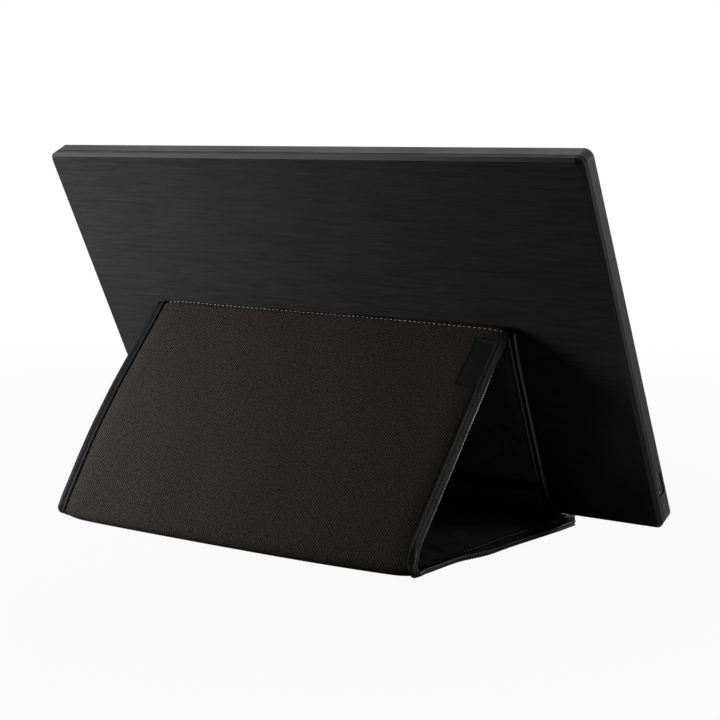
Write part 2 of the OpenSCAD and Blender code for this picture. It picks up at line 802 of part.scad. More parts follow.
module push_switches() {
    color("#c8c8c8") in_monitor() for (x = button_x) translate([x, button_up, switch_z]) {
        centred_block(switch_w, switch_w, switch_h);
        cylinder(h = switch_h + plunger_h, r = plunger_r);
    }
}

// One screw, its head at z = 0 and below, its shank upwards
module screw() {
    translate([0, 0, -screw_head_h]) cylinder(h = screw_head_h, r = screw_head_r);
    cylinder(h = screw_l, r = screw_r);
}

module board_screws() {
    color("#a5a8ab") in_monitor() {
        for (x = board_screw_x, y = board_screw_y) translate([x, y, board_z]) screw();
        for (x = post_x) translate([x, button_up, button_board_z]) screw();
    }
}

// Foam pads that press the panel against the bezel
module support_pads() {
    color("#1c1c1c") in_monitor()
        for (x = [-0.12, 0.3], y = [0.3, 0.8]) translate([x * panel_w, panel_bottom + y * panel_h, back_wall])
            centred_block(pad_w, pad_w, tray_z - back_wall);
}

// Clear window of the power light, from the button board to the bezel's face
module light_window() {
    color("#dfe6ea") in_monitor() translate([light_x, button_up, button_board_z + board_t])
        cylinder(h = monitor_t - button_board_z - board_t, r = light_r);
}

// ---- monitor: buttons ----

// A cap through the bezel, with a rim that keeps it in
module button(i) {
    color("#242526") in_monitor() translate([button_x[i], button_up, 0]) {
        slab(button_l, -button_w / 2, button_w / 2, flange_z, monitor_t + button_proud);
        slab(button_l + 2 * button_rim, -button_w / 2 - button_rim, button_w / 2 + button_rim,
            flange_z, flange_z + flange_t);
    }
}

module power_button() { button(0); }
module menu_button() { button(1); }
module up_button() { button(2); }
module down_button() { button(3); }

base_outer();
base_board();
base_lining();
base_binding();
base_tape();
front_outer();
front_board();
front_lining();
front_binding();
label_patch();
rear_outer();
rear_board();
rear_lining();
rear_binding();
near_fold_fabric();
near_fold_binding();
ridge_fold_fabric();
ridge_fold_binding();
flap_outer();
flap_lining();
flap_binding();
flap_tape();
rear_cover();
front_bezel();
screen_gasket();
display_glass();
panel_frame();
optical_films();
light_guide();
reflector_sheet();
lamp_strip();
panel_tray();
insulating_sheet();
main_board();
board_chips();
shield_can();
side_socket();
socket_tongue();
timing_board();
ribbon_cable();
button_board();
push_switches();
board_screws();
support_pads();
light_window();
power_button();
menu_button();
up_button();
down_button();
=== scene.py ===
import json
import math

import bmesh
import bpy
import numpy as np
from mathutils import Matrix, Vector, noise


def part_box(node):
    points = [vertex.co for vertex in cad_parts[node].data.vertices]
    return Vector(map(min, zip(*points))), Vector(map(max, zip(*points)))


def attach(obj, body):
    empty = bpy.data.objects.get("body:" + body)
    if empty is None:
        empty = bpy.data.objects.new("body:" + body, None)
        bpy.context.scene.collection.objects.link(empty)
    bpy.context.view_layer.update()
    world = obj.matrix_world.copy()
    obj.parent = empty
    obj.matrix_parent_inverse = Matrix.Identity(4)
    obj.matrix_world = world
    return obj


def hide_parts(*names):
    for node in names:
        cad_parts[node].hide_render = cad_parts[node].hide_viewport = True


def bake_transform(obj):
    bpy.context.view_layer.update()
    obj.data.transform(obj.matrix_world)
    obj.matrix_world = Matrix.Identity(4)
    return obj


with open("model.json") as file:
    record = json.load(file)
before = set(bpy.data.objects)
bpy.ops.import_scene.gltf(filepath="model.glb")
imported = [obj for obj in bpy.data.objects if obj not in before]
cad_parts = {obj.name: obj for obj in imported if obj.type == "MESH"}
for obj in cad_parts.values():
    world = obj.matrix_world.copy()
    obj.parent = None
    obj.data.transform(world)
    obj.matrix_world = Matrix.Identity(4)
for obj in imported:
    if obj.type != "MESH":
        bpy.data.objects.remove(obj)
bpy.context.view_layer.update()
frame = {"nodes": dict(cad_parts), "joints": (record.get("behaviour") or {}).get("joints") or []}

# ---------------------------------------------------------------- the stiffening boards
# The cover is a flat sleeve of twill, folded twice. What lets it stand is a sheet of pressed
# grey board in each of its three panels, slipped between the twill and the liner before the
# sides are bound. The folds between the panels are fabric alone.

board_colour = (0.23, 0.19, 0.14, 1)


def put(tree, kind, sockets=(), **settings):
    """Adds one node to a tree. sockets maps an input to a plain value or to an output to link."""
    made = tree.nodes.new(kind)
    for name, value in settings.items():
        setattr(made, name, value)
    for key, value in dict(sockets).items():
        if isinstance(value, bpy.types.NodeSocket):
            tree.links.new(value, made.inputs[key])
        else:
            made.inputs[key].default_value = value
    return made


def new_group(name, kind, inputs, outputs):
    """An empty node group with its named sockets, and its two end nodes."""
    tree = bpy.data.node_groups.new(name, kind)
    for label, socket, value in inputs:
        made = tree.interface.new_socket(label, in_out="INPUT", socket_type="NodeSocket" + socket)
        if value is not None:
            made.default_value = value
    for label, socket in outputs:
        tree.interface.new_socket(label, in_out="OUTPUT", socket_type="NodeSocket" + socket)
    return tree, tree.nodes.new("NodeGroupInput").outputs, tree.nodes.new("NodeGroupOutput").inputs


def new_material(name, **plain):
    """A material with one Principled shader, whose plain values stand on the shader itself."""
    made = bpy.data.materials.new(name)
    made.use_nodes = True
    shader = made.node_tree.nodes["Principled BSDF"]
    for label, value in plain.items():
        shader.inputs[label.replace("_", " ")].default_value = value
    return made, made.node_tree, shader.inputs


def reckon(tree, operation, a, b=0.0, c=0.0):
    """One Math node's result."""
    return put(tree, "ShaderNodeMath", {0: a, 1: b, 2: c}, operation=operation).outputs[0]


def times(tree, first, *others):
    """The product of several values."""
    for other in others:
        first = reckon(tree, "MULTIPLY", first, other)
    return first


def most(tree, first, *others):
    """The greatest of several values."""
    for other in others:
        first = reckon(tree, "MAXIMUM", first, other)
    return first


def ranged(tree, value, start, end, low=0.0, high=1.0, **settings):
    """A value that runs from low to high while another one runs from start to end."""
    return put(tree, "ShaderNodeMapRange", {"Value": value, 1: start, 2: end, 3: low, 4: high},
        **settings).outputs[0]


def noise_of(tree, place, scale, detail=2.0, rough=0.5, swirl=0.0):
    """A cloudy pattern over a surface, from 0 to 1."""
    return put(tree, "ShaderNodeTexNoise", {"Vector": place, "Scale": scale, "Detail": detail,
        "Roughness": rough, "Distortion": swirl}).outputs[0]


def blotches(name):
    """Shader group: slow uneven patches of a surface, as a mask from 0 to 1."""
    tree, into, out = new_group(name, "ShaderNodeTree",
        [("Vector", "Vector", None), ("Size", "Float", 0.03), ("Detail", "Float", 3.0)],
        [("Mask", "Float")])
    scale = reckon(tree, "DIVIDE", 1.0, into["Size"])
    cloud = noise_of(tree, into["Vector"], scale, into["Detail"], 0.55)
    tree.links.new(ranged(tree, cloud, 0.3, 0.7), out["Mask"])
    return tree


patch_mask = blotches("Uneven patches")


def use(tree, group, **sockets):
    """Places a group in a tree and returns its outputs."""
    made = put(tree, "ShaderNodeGroup", node_tree=group)
    for label, value in sockets.items():
        if isinstance(value, bpy.types.NodeSocket):
            tree.links.new(value, made.inputs[label])
        else:
            made.inputs[label].default_value = value
    return made.outputs


def where(tree, output="Object"):
    """Places on the piece: in its own space, or on its cloth."""
    return put(tree, "ShaderNodeTexCoord").outputs[output]


def mixed(tree, mask, low, high):
    """A colour that a mask moves from low to high."""
    return put(tree, "ShaderNodeMix", {0: mask, 6: low, 7: high}, data_type="RGBA").outputs[2]


def between(tree, mask, low, high):
    """A value or a colour that a mask moves from low to high."""
    if isinstance(low, tuple):
        return mixed(tree, mask, low, high)
    return ranged(tree, mask, 0.0, 1.0, low, high)


def bump(tree, height, depth, into=None):
    """A bump of a real depth in metres, over another normal if one is given."""
    made = put(tree, "ShaderNodeBump", {"Height": height, "Strength": 1.0, "Distance": depth})
    if into is not None:
        tree.links.new(into, made.inputs["Normal"])
    return made.outputs[0]


def grey(level):
    """A plain grey colour."""
    return (level, level, level, 1)


def darker(colour, share):
    """A share of a colour's level."""
    return tuple(share * c for c in colour[:3]) + (1,)


def dress(tree, shader, **looks):
    """Links what changes over a surface to the shader's inputs of the same names."""
    for label, value in looks.items():
        tree.links.new(value, shader[label.replace("_", " ")])


def board_finish():
    """Pressed grey-brown board with short fibres."""
    made, tree, shader = new_material("Pressed board", Roughness=0.85)
    fibres = use(tree, patch_mask, Vector=where(tree), Size=0.0015, Detail=6.0)["Mask"]
    dark = darker(board_colour, 0.7)
    dress(tree, shader,
        Base_Color=between(tree, fibres, dark, board_colour),
        Normal=bump(tree, fibres, 0.0001))
    return made


def wear(names, material):
    """Gives the named solids of the frame their finish."""
    for name in names:
        slots = frame["nodes"][name].data.materials
        slots.clear()
        slots.append(material)


pressed_board = board_finish()
wear(["base_board", "rear_board"], pressed_board)

# ---------------------------------------------------------------- the outer twill
# Dark brown-black polyester twill makes the cover's whole outside in one length: under the
# base, round the near fold, up the front, over the ridge, down the rear, and on past the
# sleeve's mouth as the closing flap. A thin wadding behind it gives the panels their crown.

pivot = {j["name"]: Vector(j["pos_m"]) for j in frame["joints"] if "pos_m" in j}
near, ridge, lip = pivot["near_fold"], pivot["ridge_fold"], pivot["flap_fold"]
base_low, base_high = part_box("base_binding")
side_low, side_high, tip_y = base_low.x, base_high.x, base_low.y
panel = near.z
binding_width = 0.0057  # the binding's reach onto a panel, as folded
low_face, high_face = 0.0044, 0.0086  # its reach on each side of the cover, as sewn
tuck = 0.003  # how far the twill runs on under the binding
skin = 0.00095  # the twill's thickness with its backing
crown = 0.0014  # how far the wadding lifts the middle of a panel
seam_dip, seam_groove = 0.0004, 0.00015  # how far a seam draws the twill in
roll_width = 0.013  # from a seam to the full crown
bend_radius = 0.0215  # of the flap's bend
flap_stop = 0.0007  # how far the flap ends short of the base's tip
across_step, row_step, rear_step, flap_step = 0.0025, 0.003, 0.0025, 0.001
fold_steps, bend_steps = 18, 24
unevenness = 0.00022

front_slope = math.atan2(ridge.z - near.z, near.y - ridge.y)
reach = math.hypot(ridge.y - lip.y, ridge.z - lip.z)
rear_slope = math.atan2(ridge.z - lip.z, ridge.y - lip.y) + math.asin(panel / reach)
rear_length = (ridge.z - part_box("rear_lining")[0].z) / math.sin(rear_slope)


def arc(centre, radius, start, end, steps):
    """Points (y, z) on an arc, with both ends."""
    turn = np.linspace(start, end, steps + 1)[:, None]
    return np.array(centre) + radius * np.hstack([np.cos(turn), np.sin(turn)])


def straight(start, end, step):
    """Points (y, z) on a line, with both ends."""
    count = max(1, round(float(np.linalg.norm(np.subtract(end, start))) / step))
    return np.linspace(start, end, count + 1)


def outer_line():
    """The outside of the folded cover, from the base's tip to the flap's, as (y, z) points."""
    front_up = math.pi / 2 - front_slope
    rear_up = math.pi / 2 + rear_slope
    near_bend = arc((near.y, near.z), panel, -math.pi / 2, front_up, fold_steps)
    ridge_bend = arc((ridge.y, ridge.z), panel, front_up, rear_up, fold_steps)
    mouth = ridge_bend[-1] - rear_length * np.array([math.cos(rear_slope), math.sin(rear_slope)])
    bend = math.acos(1 - (mouth[1] - lip.z) / bend_radius)
    bend_y = mouth[0] - bend_radius * math.sin(bend)
    flap_bend = arc((bend_y, lip.z + bend_radius), bend_radius, bend - math.pi / 2,
        -math.pi / 2, bend_steps)
    flap_tip = (tip_y + flap_stop, lip.z)
    return [straight((tip_y, 0), near_bend[0], row_step), near_bend,
        straight(near_bend[-1], ridge_bend[0], row_step), ridge_bend,
        straight(ridge_bend[-1], mouth, rear_step), flap_bend,
        straight(flap_bend[-1], flap_tip, flap_step)]


def joined(parts):
    """The parts as one line, with each part's first and last place in it."""
    line, ends = [parts[0]], [0, len(parts[0]) - 1]
    for part in parts[1:]:
        line.append(part[1:])
        ends.append(ends[-1] + len(part) - 1)
    return np.vstack(line), ends


line, corner = joined(outer_line())
TIP, NEAR_IN, NEAR_OUT, RIDGE_IN, RIDGE_OUT, MOUTH, FLAT, FLAP_TIP = corner
for _ in range(12):  # eases the corner where the rear panel runs into the flap's bend
    eased = 0.25 * line[:-2] + 0.5 * line[1:-1] + 0.25 * line[2:]
    line[MOUTH - 3:MOUTH + 4] = eased[MOUTH - 4:MOUTH + 3]
along = np.concatenate([[0], np.cumsum(np.linalg.norm(np.diff(line, axis=0), axis=1))])
heading = np.gradient(line, axis=0)
heading /= np.linalg.norm(heading, axis=1)[:, None]
outward = np.stack([heading[:, 1], -heading[:, 0]], axis=1)


def smooth(value, low, high):
    """0 below low, 1 above high, and an even curve between them."""
    t = np.clip((value - low) / (high - low), 0, 1)
    return t * t * (3 - 2 * t)


def drift(points, size, seed):
    """Slow random rise and fall over a grid of points, from -1 to 1."""
    flat = points.reshape(-1, 3) / size + seed
    return np.array([noise.noise(Vector(p)) for p in flat]).reshape(points.shape[:-1])


def past(s, place, start, end):
    """0 before a place on the line and 1 after it, from start to end metres off it."""
    return smooth(s, along[place] + start, along[place] + end)


slump, edge_slump = 0.003, 0.0028  # how far the cloth hangs under the base, and its edges
low_side_pull = 0.0012  # how far the front panel's low side is drawn in
fold_slide = 0.0024  # how far the near fold moves out as it sags
tip_spread = 0.0034  # how far the tip's low side stands out
low_hold, high_hold, high_hold_share = 0.075, 0.017, 0.45  # the stiff corners' reach
bow_low_side = [(-0.06, 0.0), (-0.03, 0.0016), (0.0, 0.0046), (0.05, 0.0074), (0.12, 0.0071),
    (0.3, 0.0060), (0.5, 0.0050), (0.67, 0.0041), (0.95, 0.0028), (1.0, 0.0022), (1.1, 0.0006),
    (1.2, 0.0)]
bow_high_side = 0.0046
ridge_lift, ridge_drop = 0.0012, 0.0004


def front_share(s):
    """Where a line length lies on the front panel: 0 at the near fold's end, 1 at the ridge."""
    return (s - along[NEAR_OUT]) / (along[RIDGE_IN] - along[NEAR_OUT])


def bow(x, s):
    """How far the front panel is bowed outwards, most at its foot on the low side."""
    share = front_share(s)
    places, lifts = zip(*bow_low_side)
    low = sum(np.interp(share + d, places, lifts) for d in (-0.02, 0.0, 0.02)) / 3
    high = bow_high_side * np.sin(math.pi * np.clip(share, 0, 1) ** 0.85)
    mix = smooth(x, side_low, side_high)
    return low * (1 - mix) + high * mix


def slumped(x, s):
    """How far the cloth under the base hangs below its board. The stiff fold corners stay up."""
    back = along[NEAR_IN] - s
    low = np.exp(-(x - side_low) / low_hold) * (1 - smooth(back, 0.03, 0.075))
    high = high_hold_share * np.exp(-(side_high - x) / high_hold) * (1 - smooth(back, 0.03, 0.09))
    edge = smooth(np.minimum(x - side_low, side_high - x), 0.004, 0.016)
    return (edge_slump + (slump - edge_slump) * edge) * np.clip(1 - low - high, 0, 1)


def hang(x, s):
    """Where a point of the cloth lies off its plain place, from columns x and line lengths s."""
    x, s = np.broadcast_arrays(x, s)
    up = past(s, NEAR_OUT, 0, 0.035)
    near_roll = past(s, NEAR_IN, -0.02, 0) * (1 - up)
    tip = 1 - smooth(s, 0.01, 0.085)
    flap = smooth(s, along[MOUTH], along[FLAP_TIP])
    top = past(s, RIDGE_IN, -0.02, 0.003) * (1 - past(s, RIDGE_OUT, -0.003, 0.03))
    sunk = slumped(x, s) * (1 - up)
    across = -tip_spread * (tip + flap) * smooth(-x, -side_low - 0.07, -side_low)
    pulled = smooth(s, along[NEAR_IN], along[NEAR_OUT]) * (1 - past(s, RIDGE_IN, -0.03, 0))
    across = across + low_side_pull * pulled * (1 - smooth(x, side_low, side_low + 0.06))
    out = bow(x, s)
    face_y, face_z = (np.interp(s, along, outward[:, k]) for k in (0, 1))
    lift = top * (ridge_lift * smooth(x, 0.0, side_high) - ridge_drop * smooth(-x, 0.0, -side_low))
    return np.stack([across, fold_slide * near_roll * sunk / slump + out * face_y,
        lift - sunk + out * face_z], axis=-1)


def skin_rise(x, first, last):
    """How far the twill stands off the panels' plain outside, over columns x and line places."""
    edge = np.minimum(x - side_low - low_face, side_high - high_face - x)[:, None]
    side = 1 - (1 - np.clip((edge - 0.0008) / roll_width, 0, 1)) ** 2
    s = along[first:last + 1][None, :]
    fold = np.zeros_like(s)
    for a, b in ((NEAR_IN, NEAR_OUT), (RIDGE_IN, RIDGE_OUT)):
        fold += past(s, a, -0.02, 0) * (1 - past(s, b, 0, 0.02))
    rise = -seam_dip + (crown + seam_dip) * side * (1 - 0.45 * fold)
    rise -= seam_groove * np.exp(-((edge - 0.0007) / 0.0007) ** 2)
    under = 1 - past(s, NEAR_IN, -0.012, 0.003)
    flap = past(s, MOUTH, -0.01, 0.004)
    return rise * (1 - under) * (1 - flap) + np.minimum(rise, 0) * under - 0.0002 * flap


def spread_out(x, y, z):
    """A grid of points over columns x, whose rows lie at y and z."""
    return np.stack(np.broadcast_arrays(x[:, None], y, z), axis=2)


def cover_grid(x, first, last, depth):
    """Points over columns x and line places, at a depth below the outside: a number or a grid."""
    y, z = (line[None, first:last + 1, k] - outward[None, first:last + 1, k] * depth
        for k in (0, 1))
    return spread_out(x, y, z)


def layer_mesh(name, upper, lower, x, first, last):
    """A closed thin layer between two grids of points, with metres on the cloth as its UV."""
    columns, rows = upper.shape[:2]
    count = columns * rows
    corners = np.arange(count).reshape(columns, rows)
    a, b = corners[:-1, :-1].ravel(), corners[1:, :-1].ravel()
    c, d = corners[1:, 1:].ravel(), corners[:-1, 1:].ravel()
    faces = [np.stack([a, b, c, d], axis=1), np.stack([a, d, c, b], axis=1) + count]
    rim = np.concatenate([corners[0, ::-1], corners[1:, 0], corners[-1, 1:], corners[-2:0:-1, -1]])
    after = np.roll(rim, -1)
    faces.append(np.stack([after, rim, rim + count, after + count], axis=1))
    faces = np.vstack(faces)
    mesh = bpy.data.meshes.new(name)
    mesh.from_pydata(np.vstack([upper.reshape(-1, 3), lower.reshape(-1, 3)]).tolist(), [],
        faces.tolist())
    u = np.tile(np.broadcast_to(x[:, None], (columns, rows)).ravel(), 2)
    v = np.tile(np.broadcast_to(along[None, first:last + 1], (columns, rows)).ravel(), 2)
    spots = np.stack([u, v], axis=1)[faces.ravel()]
    mesh.uv_layers.new(name="Cloth").data.foreach_set("uv", spots.ravel())
    mesh.validate()
    round_over(mesh, 50)
    return placed(name, mesh)


def placed(name, data):
    """A new object in the scene."""
    made = bpy.data.objects.new(name, data)
    bpy.context.scene.collection.objects.link(made)
    return made


def round_over(mesh, angle):
    """Smooth shading, with edges sharper than the angle kept crisp."""
    mesh.shade_smooth()
    mesh.set_sharp_from_angle(angle=math.radians(angle))


def parts_of(tree, vector):
    """A vector's three numbers."""
    return put(tree, "ShaderNodeSeparateXYZ", {0: vector}).outputs


def twill_weave():
    """Shader group: a twill's diagonal ribs as a height, and a tone with painted shade in the
    troughs, painted light on the ribs and random yarn tone.
    """
    tree, into, out = new_group("Twill weave", "ShaderNodeTree",
        [("Vector", "Vector", None), ("Ribs per metre", "Float", 855.0),
         ("Steps per metre", "Float", 600.0)],
        [("Height", "Float"), ("Painted rib shade and yarn tone", "Float")])
    wander = put(tree, "ShaderNodeTexNoise", {"Vector": into["Vector"], "Scale": 140.0,
        "Detail": 2.0})
    pull = put(tree, "ShaderNodeVectorMath", {0: wander.outputs["Color"], 1: (0.0004, 0.0004, 0),
        2: into["Vector"]}, operation="MULTIPLY_ADD")

    def wave(direction, count):
        line_up = put(tree, "ShaderNodeVectorMath", {0: pull.outputs[0], 1: direction},
            operation="DOT_PRODUCT")
        return reckon(tree, "SINE", times(tree, line_up.outputs["Value"], into[count], math.tau))

    rib = wave((-0.592, 0.806, 0), "Ribs per metre")
    step = wave((0.971, 0.237, 0), "Steps per metre")
    height = ranged(tree, reckon(tree, "MULTIPLY_ADD", step, 0.35, rib), -1.35, 1.35)
    yarn = noise_of(tree, into["Vector"], 750.0, rough=0.6)
    # the rib height paints shade into the troughs and light onto the ribs; the yarn noise adds
    # random tone
    shade = reckon(tree, "ADD", height, ranged(tree, yarn, 0.25, 0.75, -0.3, 0.3))
    tree.links.new(height, out["Height"])
    tree.links.new(most(tree, shade, 0.0), out["Painted rib shade and yarn tone"])
    return tree


def twill_finish():
    """Twill with painted light on its ribs and painted shade in its troughs, unevenly faded."""
    made, tree, shader = new_material("Brown-black twill", Roughness=0.85, Specular_IOR_Level=0.06)
    cloth = where(tree, "UV")
    weave = use(tree, twill_weave(), Vector=cloth)
    faded = use(tree, patch_mask, Vector=cloth, Size=0.07)["Mask"]
    # the lower half has greyed with handling, and the brown stays towards the ridge
    top = float(along[RIDGE_IN])
    low = ranged(tree, parts_of(tree, cloth)[1], top - 0.01, top - 0.07, -0.55, 0.4)
    worn = reckon(tree, "ADD", faded, low)
    # the weave's tone runs from painted shade in the troughs to painted light on the ribs
    fresh = between(tree, weave["Painted rib shade and yarn tone"], (0.0037, 0.0030, 0.0027, 1), (0.0540, 0.0463, 0.0442, 1))
    old = between(tree, weave["Painted rib shade and yarn tone"], (0.0040, 0.0037, 0.0034, 1), (0.0535, 0.0512, 0.0472, 1))
    dress(tree, shader,
        Base_Color=mixed(tree, worn, fresh, old),
        Roughness=between(tree, faded, 0.8, 0.9),
        Normal=bump(tree, weave["Height"], 0.00006))
    return made


twill = twill_finish()
inside_low, inside_high = side_low + low_face - tuck, side_high - high_face + tuck
beside = np.concatenate([np.arange(0, 0.0024, 0.0008), np.arange(0.0024, 0.0052, 0.0004),
    np.arange(0.0052, 0.015, 0.0012)])
middle_columns = round((inside_high - inside_low) / across_step) - 12
middle = np.linspace(inside_low + 0.016, inside_high - 0.016, middle_columns)
columns = np.concatenate([inside_low + beside, middle, inside_high - beside[::-1]])


def carry(made, bodies, joint_ends):
    """Rides a piece on its one body, or bakes its placement into its points where it spans a joint.
    """
    if joint_ends:
        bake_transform(made)
    else:
        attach(made, bodies[0])


def twill_piece(name, first, last, bodies, joint_ends, nodes, seed):
    """One length of the twill, which runs round a fold from one body to the next."""
    rise = skin_rise(columns, first, last)
    upper = cover_grid(columns, first, last, -rise)
    uneven = unevenness * drift(upper, 0.045, seed)
    inset = np.minimum(columns - side_low, side_high - columns)
    uneven *= smooth(inset, binding_width, 0.02)[:, None]
    uneven *= 1 - (upper[:, :, 2] < 0.002)
    moved = hang(columns[:, None], along[None, first:last + 1])
    upper = cover_grid(columns, first, last, -(rise + uneven)) + moved
    lower = cover_grid(columns, first, last, skin) + moved
    made = layer_mesh(name, upper, lower, columns, first, last)
    made.data.materials.append(twill)
    carry(made, bodies, joint_ends)
    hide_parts(*nodes)


tip_edge = int(np.searchsorted(along, binding_width - tuck))
before_ridge = RIDGE_IN - 2
after_ridge = RIDGE_OUT + 4
flap_edge = FLAP_TIP - 3
twill_piece("twill_base_and_front", tip_edge, before_ridge, ("base", "front_panel"),
    (NEAR_IN, NEAR_OUT), ["base_outer", "near_fold_fabric", "front_outer"], 3)
twill_piece("twill_ridge", before_ridge, after_ridge, ("front_panel", "rear_panel"),
    (RIDGE_IN, RIDGE_OUT), ["ridge_fold_fabric"], 3)
twill_piece("twill_rear_and_flap", after_ridge, flap_edge, ("rear_panel", "flap"),
    (MOUTH, FLAT), ["rear_outer", "flap_outer"], 3)


board_inset = 0.0032
board_depths = 0.00105, 0.00295


def bowed_board():
    """The front panel's board, which takes its panel's bow."""
    x = np.linspace(side_low + board_inset, side_high - board_inset, 90)
    first, last = NEAR_OUT + 3, RIDGE_IN - 1
    moved = hang(x[:, None], along[None, first:last + 1])
    upper, lower = (cover_grid(x, first, last, depth) + moved for depth in board_depths)
    made = layer_mesh("board_front", upper, lower, x, first, last)
    made.data.materials.append(pressed_board)
    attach(made, "front_panel")
    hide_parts("front_board")


bowed_board()

# ---------------------------------------------------------------- the liner
# The inside of the sleeve is a thin, smooth black fabric that won't scratch a screen. It is
# cut in one piece per panel, creased at the folds, and its slack shows as faint wrinkles.

liner_rise = 0.0004
liner_thick = 0.0009
liner_step = 0.0026
liner_overlap = 0.0008
flap_liner_depths = 0.0011, 0.0019


def liner_finish():
    """Thin smooth fabric, with a fine weave and soft creases."""
    made, tree, shader = new_material("Smooth black liner", Roughness=0.5, Specular_IOR_Level=0.4)
    cloth = where(tree, "UV")
    weave = noise_of(tree, cloth, 2200.0)
    creases = noise_of(tree, cloth, 38.0, 4.0, swirl=1.4)
    worn = use(tree, patch_mask, Vector=cloth, Size=0.02)["Mask"]
    dress(tree, shader,
        Base_Color=between(tree, worn, (0.019, 0.019, 0.0194, 1), (0.030, 0.030, 0.0305, 1)),
        Roughness=between(tree, worn, 0.42, 0.6))
    fine = bump(tree, weave, 0.00004)
    dress(tree, shader,
        Normal=bump(tree, creases, 0.0012, fine))
    return made


liner = liner_finish()
liner_inset = binding_width - liner_overlap
liner_columns = np.linspace(side_low + liner_inset, side_high - liner_inset, 100)


def liner_piece(name, start, end, normal, body, nodes, seed, places):
    """The liner of one panel, from one end of its inner face to the other, normal outwards."""
    rows = round(float(np.linalg.norm(np.subtract(end, start))) / liner_step) + 1
    length = np.linspace(along[places[0]], along[places[1]], rows)
    run = np.linspace(start, end, rows)
    flat = spread_out(liner_columns, run[:, 0], run[:, 1])
    edge = np.minimum(liner_columns - liner_columns[0], liner_columns[-1] - liner_columns)[:, None]
    ends = np.minimum(np.arange(rows), np.arange(rows)[::-1])[None, :] * liner_step
    inner = smooth(edge, 0, 0.012) * smooth(ends, 0, 0.012)
    wrinkles = 0.6 * drift(flat, 0.03, seed) + 0.4 * np.abs(drift(flat, 0.011, seed))
    slack = liner_rise * inner * wrinkles
    sunk = -0.0003 * (1 - smooth(edge, 0, 0.004))
    rise = (slack + sunk)[:, :, None] * np.array([0, *normal])
    lower = flat - liner_thick * np.array([0, *normal])
    moved = np.zeros_like(flat)
    moved[:, :, 0] = hang(liner_columns[:, None], length[None, :])[:, :, 0]
    if body == "front_panel":
        out = bow(liner_columns[:, None], length[None, :])
        out *= smooth(front_share(length), 0.0, 0.06)[None, :]
        moved -= out[:, :, None] * np.array([0, *normal])
    made = layer_mesh(name, flat + rise + moved, lower + moved, liner_columns, 0, rows - 1)
    made.data.materials.append(liner)
    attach(made, body)
    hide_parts(*nodes)


def inner_point(pivot_point, direction, distance):
    """A point (y, z) at a distance from a fold, along a panel's inner face."""
    return (pivot_point.y + distance * direction[0], pivot_point.z + distance * direction[1])


up_front = (-math.cos(front_slope), math.sin(front_slope))
down_rear = (-math.cos(rear_slope), -math.sin(rear_slope))
crease = 0.0003
liner_piece("liner_base", (near.y - crease, near.z), (tip_y + liner_inset, near.z), (0, 1),
    "base", ["base_lining"], 11, (NEAR_IN, TIP))
liner_piece("liner_front", inner_point(ridge, up_front, -crease),
    inner_point(near, up_front, crease), (-math.sin(front_slope), -math.cos(front_slope)),
    "front_panel", ["front_lining"], 17, (RIDGE_IN, NEAR_OUT))
liner_piece("liner_rear", inner_point(ridge, down_rear, rear_length - 0.001),
    inner_point(ridge, down_rear, crease), (math.sin(rear_slope), -math.cos(rear_slope)),
    "rear_panel", ["rear_lining"], 23, (MOUTH, RIDGE_OUT))


def flap_liner():
    """The flap's underside, from the sleeve's mouth to the flap's edge."""
    moved = hang(liner_columns[:, None], along[None, MOUTH:flap_edge + 1])
    upper, lower = (cover_grid(liner_columns, MOUTH, flap_edge, depth) + moved
        for depth in flap_liner_depths)
    made = layer_mesh("liner_flap", upper, lower, liner_columns, MOUTH, flap_edge)
    made.data.materials.append(liner)
    carry(made, ("rear_panel", "flap"), (MOUTH, FLAT))
    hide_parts("flap_lining")


flap_liner()

# ---------------------------------------------------------------- the hem of the mouth
# At the sleeve's mouth the liner turns back over the rear panel's board. A strip of the
# binding fabric, folded over the turned edge and sewn through, keeps it from fraying.

hem_width = 0.007
rear_top = line[RIDGE_OUT]
out_rear = (-math.sin(rear_slope), math.cos(rear_slope))


def binding_finish():
    """Coated fabric with a leather-like grain, shinier where handled."""
    made, tree, shader = new_material("Black leather-like binding", Specular_IOR_Level=0.42)
    skin_place = where(tree)
    grain = put(tree, "ShaderNodeTexVoronoi", {"Vector": skin_place, "Scale": 1500.0},
        feature="SMOOTH_F1")
    handled = use(tree, patch_mask, Vector=skin_place, Size=0.012)["Mask"]
    dress(tree, shader,
        Base_Color=between(tree, handled, grey(0.007), (0.012, 0.012, 0.0118, 1)),
        Roughness=between(tree, handled, 0.2, 0.27))
    fine = bump(tree, grain.outputs[0], 0.000012)
    dress(tree, shader,
        Normal=bump(tree, handled, 0.00008, fine))
    return made


def tidy_normals(made):
    """Turns every face of a closed mesh outwards."""
    work = bmesh.new()
    work.from_mesh(made.data)
    bmesh.ops.remove_doubles(work, verts=work.verts, dist=1e-7)
    bmesh.ops.recalc_face_normals(work, faces=work.faces)
    work.to_mesh(made.data)
    work.free()


def hem_outline():
    """The hem's closed section: (distance down the rear panel, depth from the outside)."""
    end = rear_length
    return [(end - hem_width, panel), (end - hem_width, panel + 0.0003),
        (end - hem_width + 0.0004, panel + 0.0006), (end - 0.0018, panel + 0.0006),
        (end - 0.0006, panel + 0.0004), (end + 0.0003, panel - 0.0003),
        (end + 0.0006, panel - 0.0012), (end + 0.0005, 0.0016), (end, 0.0011),
        (end - 0.0012, 0.0011), (end - 0.0009, 0.002), (end - 0.001, panel - 0.001)]


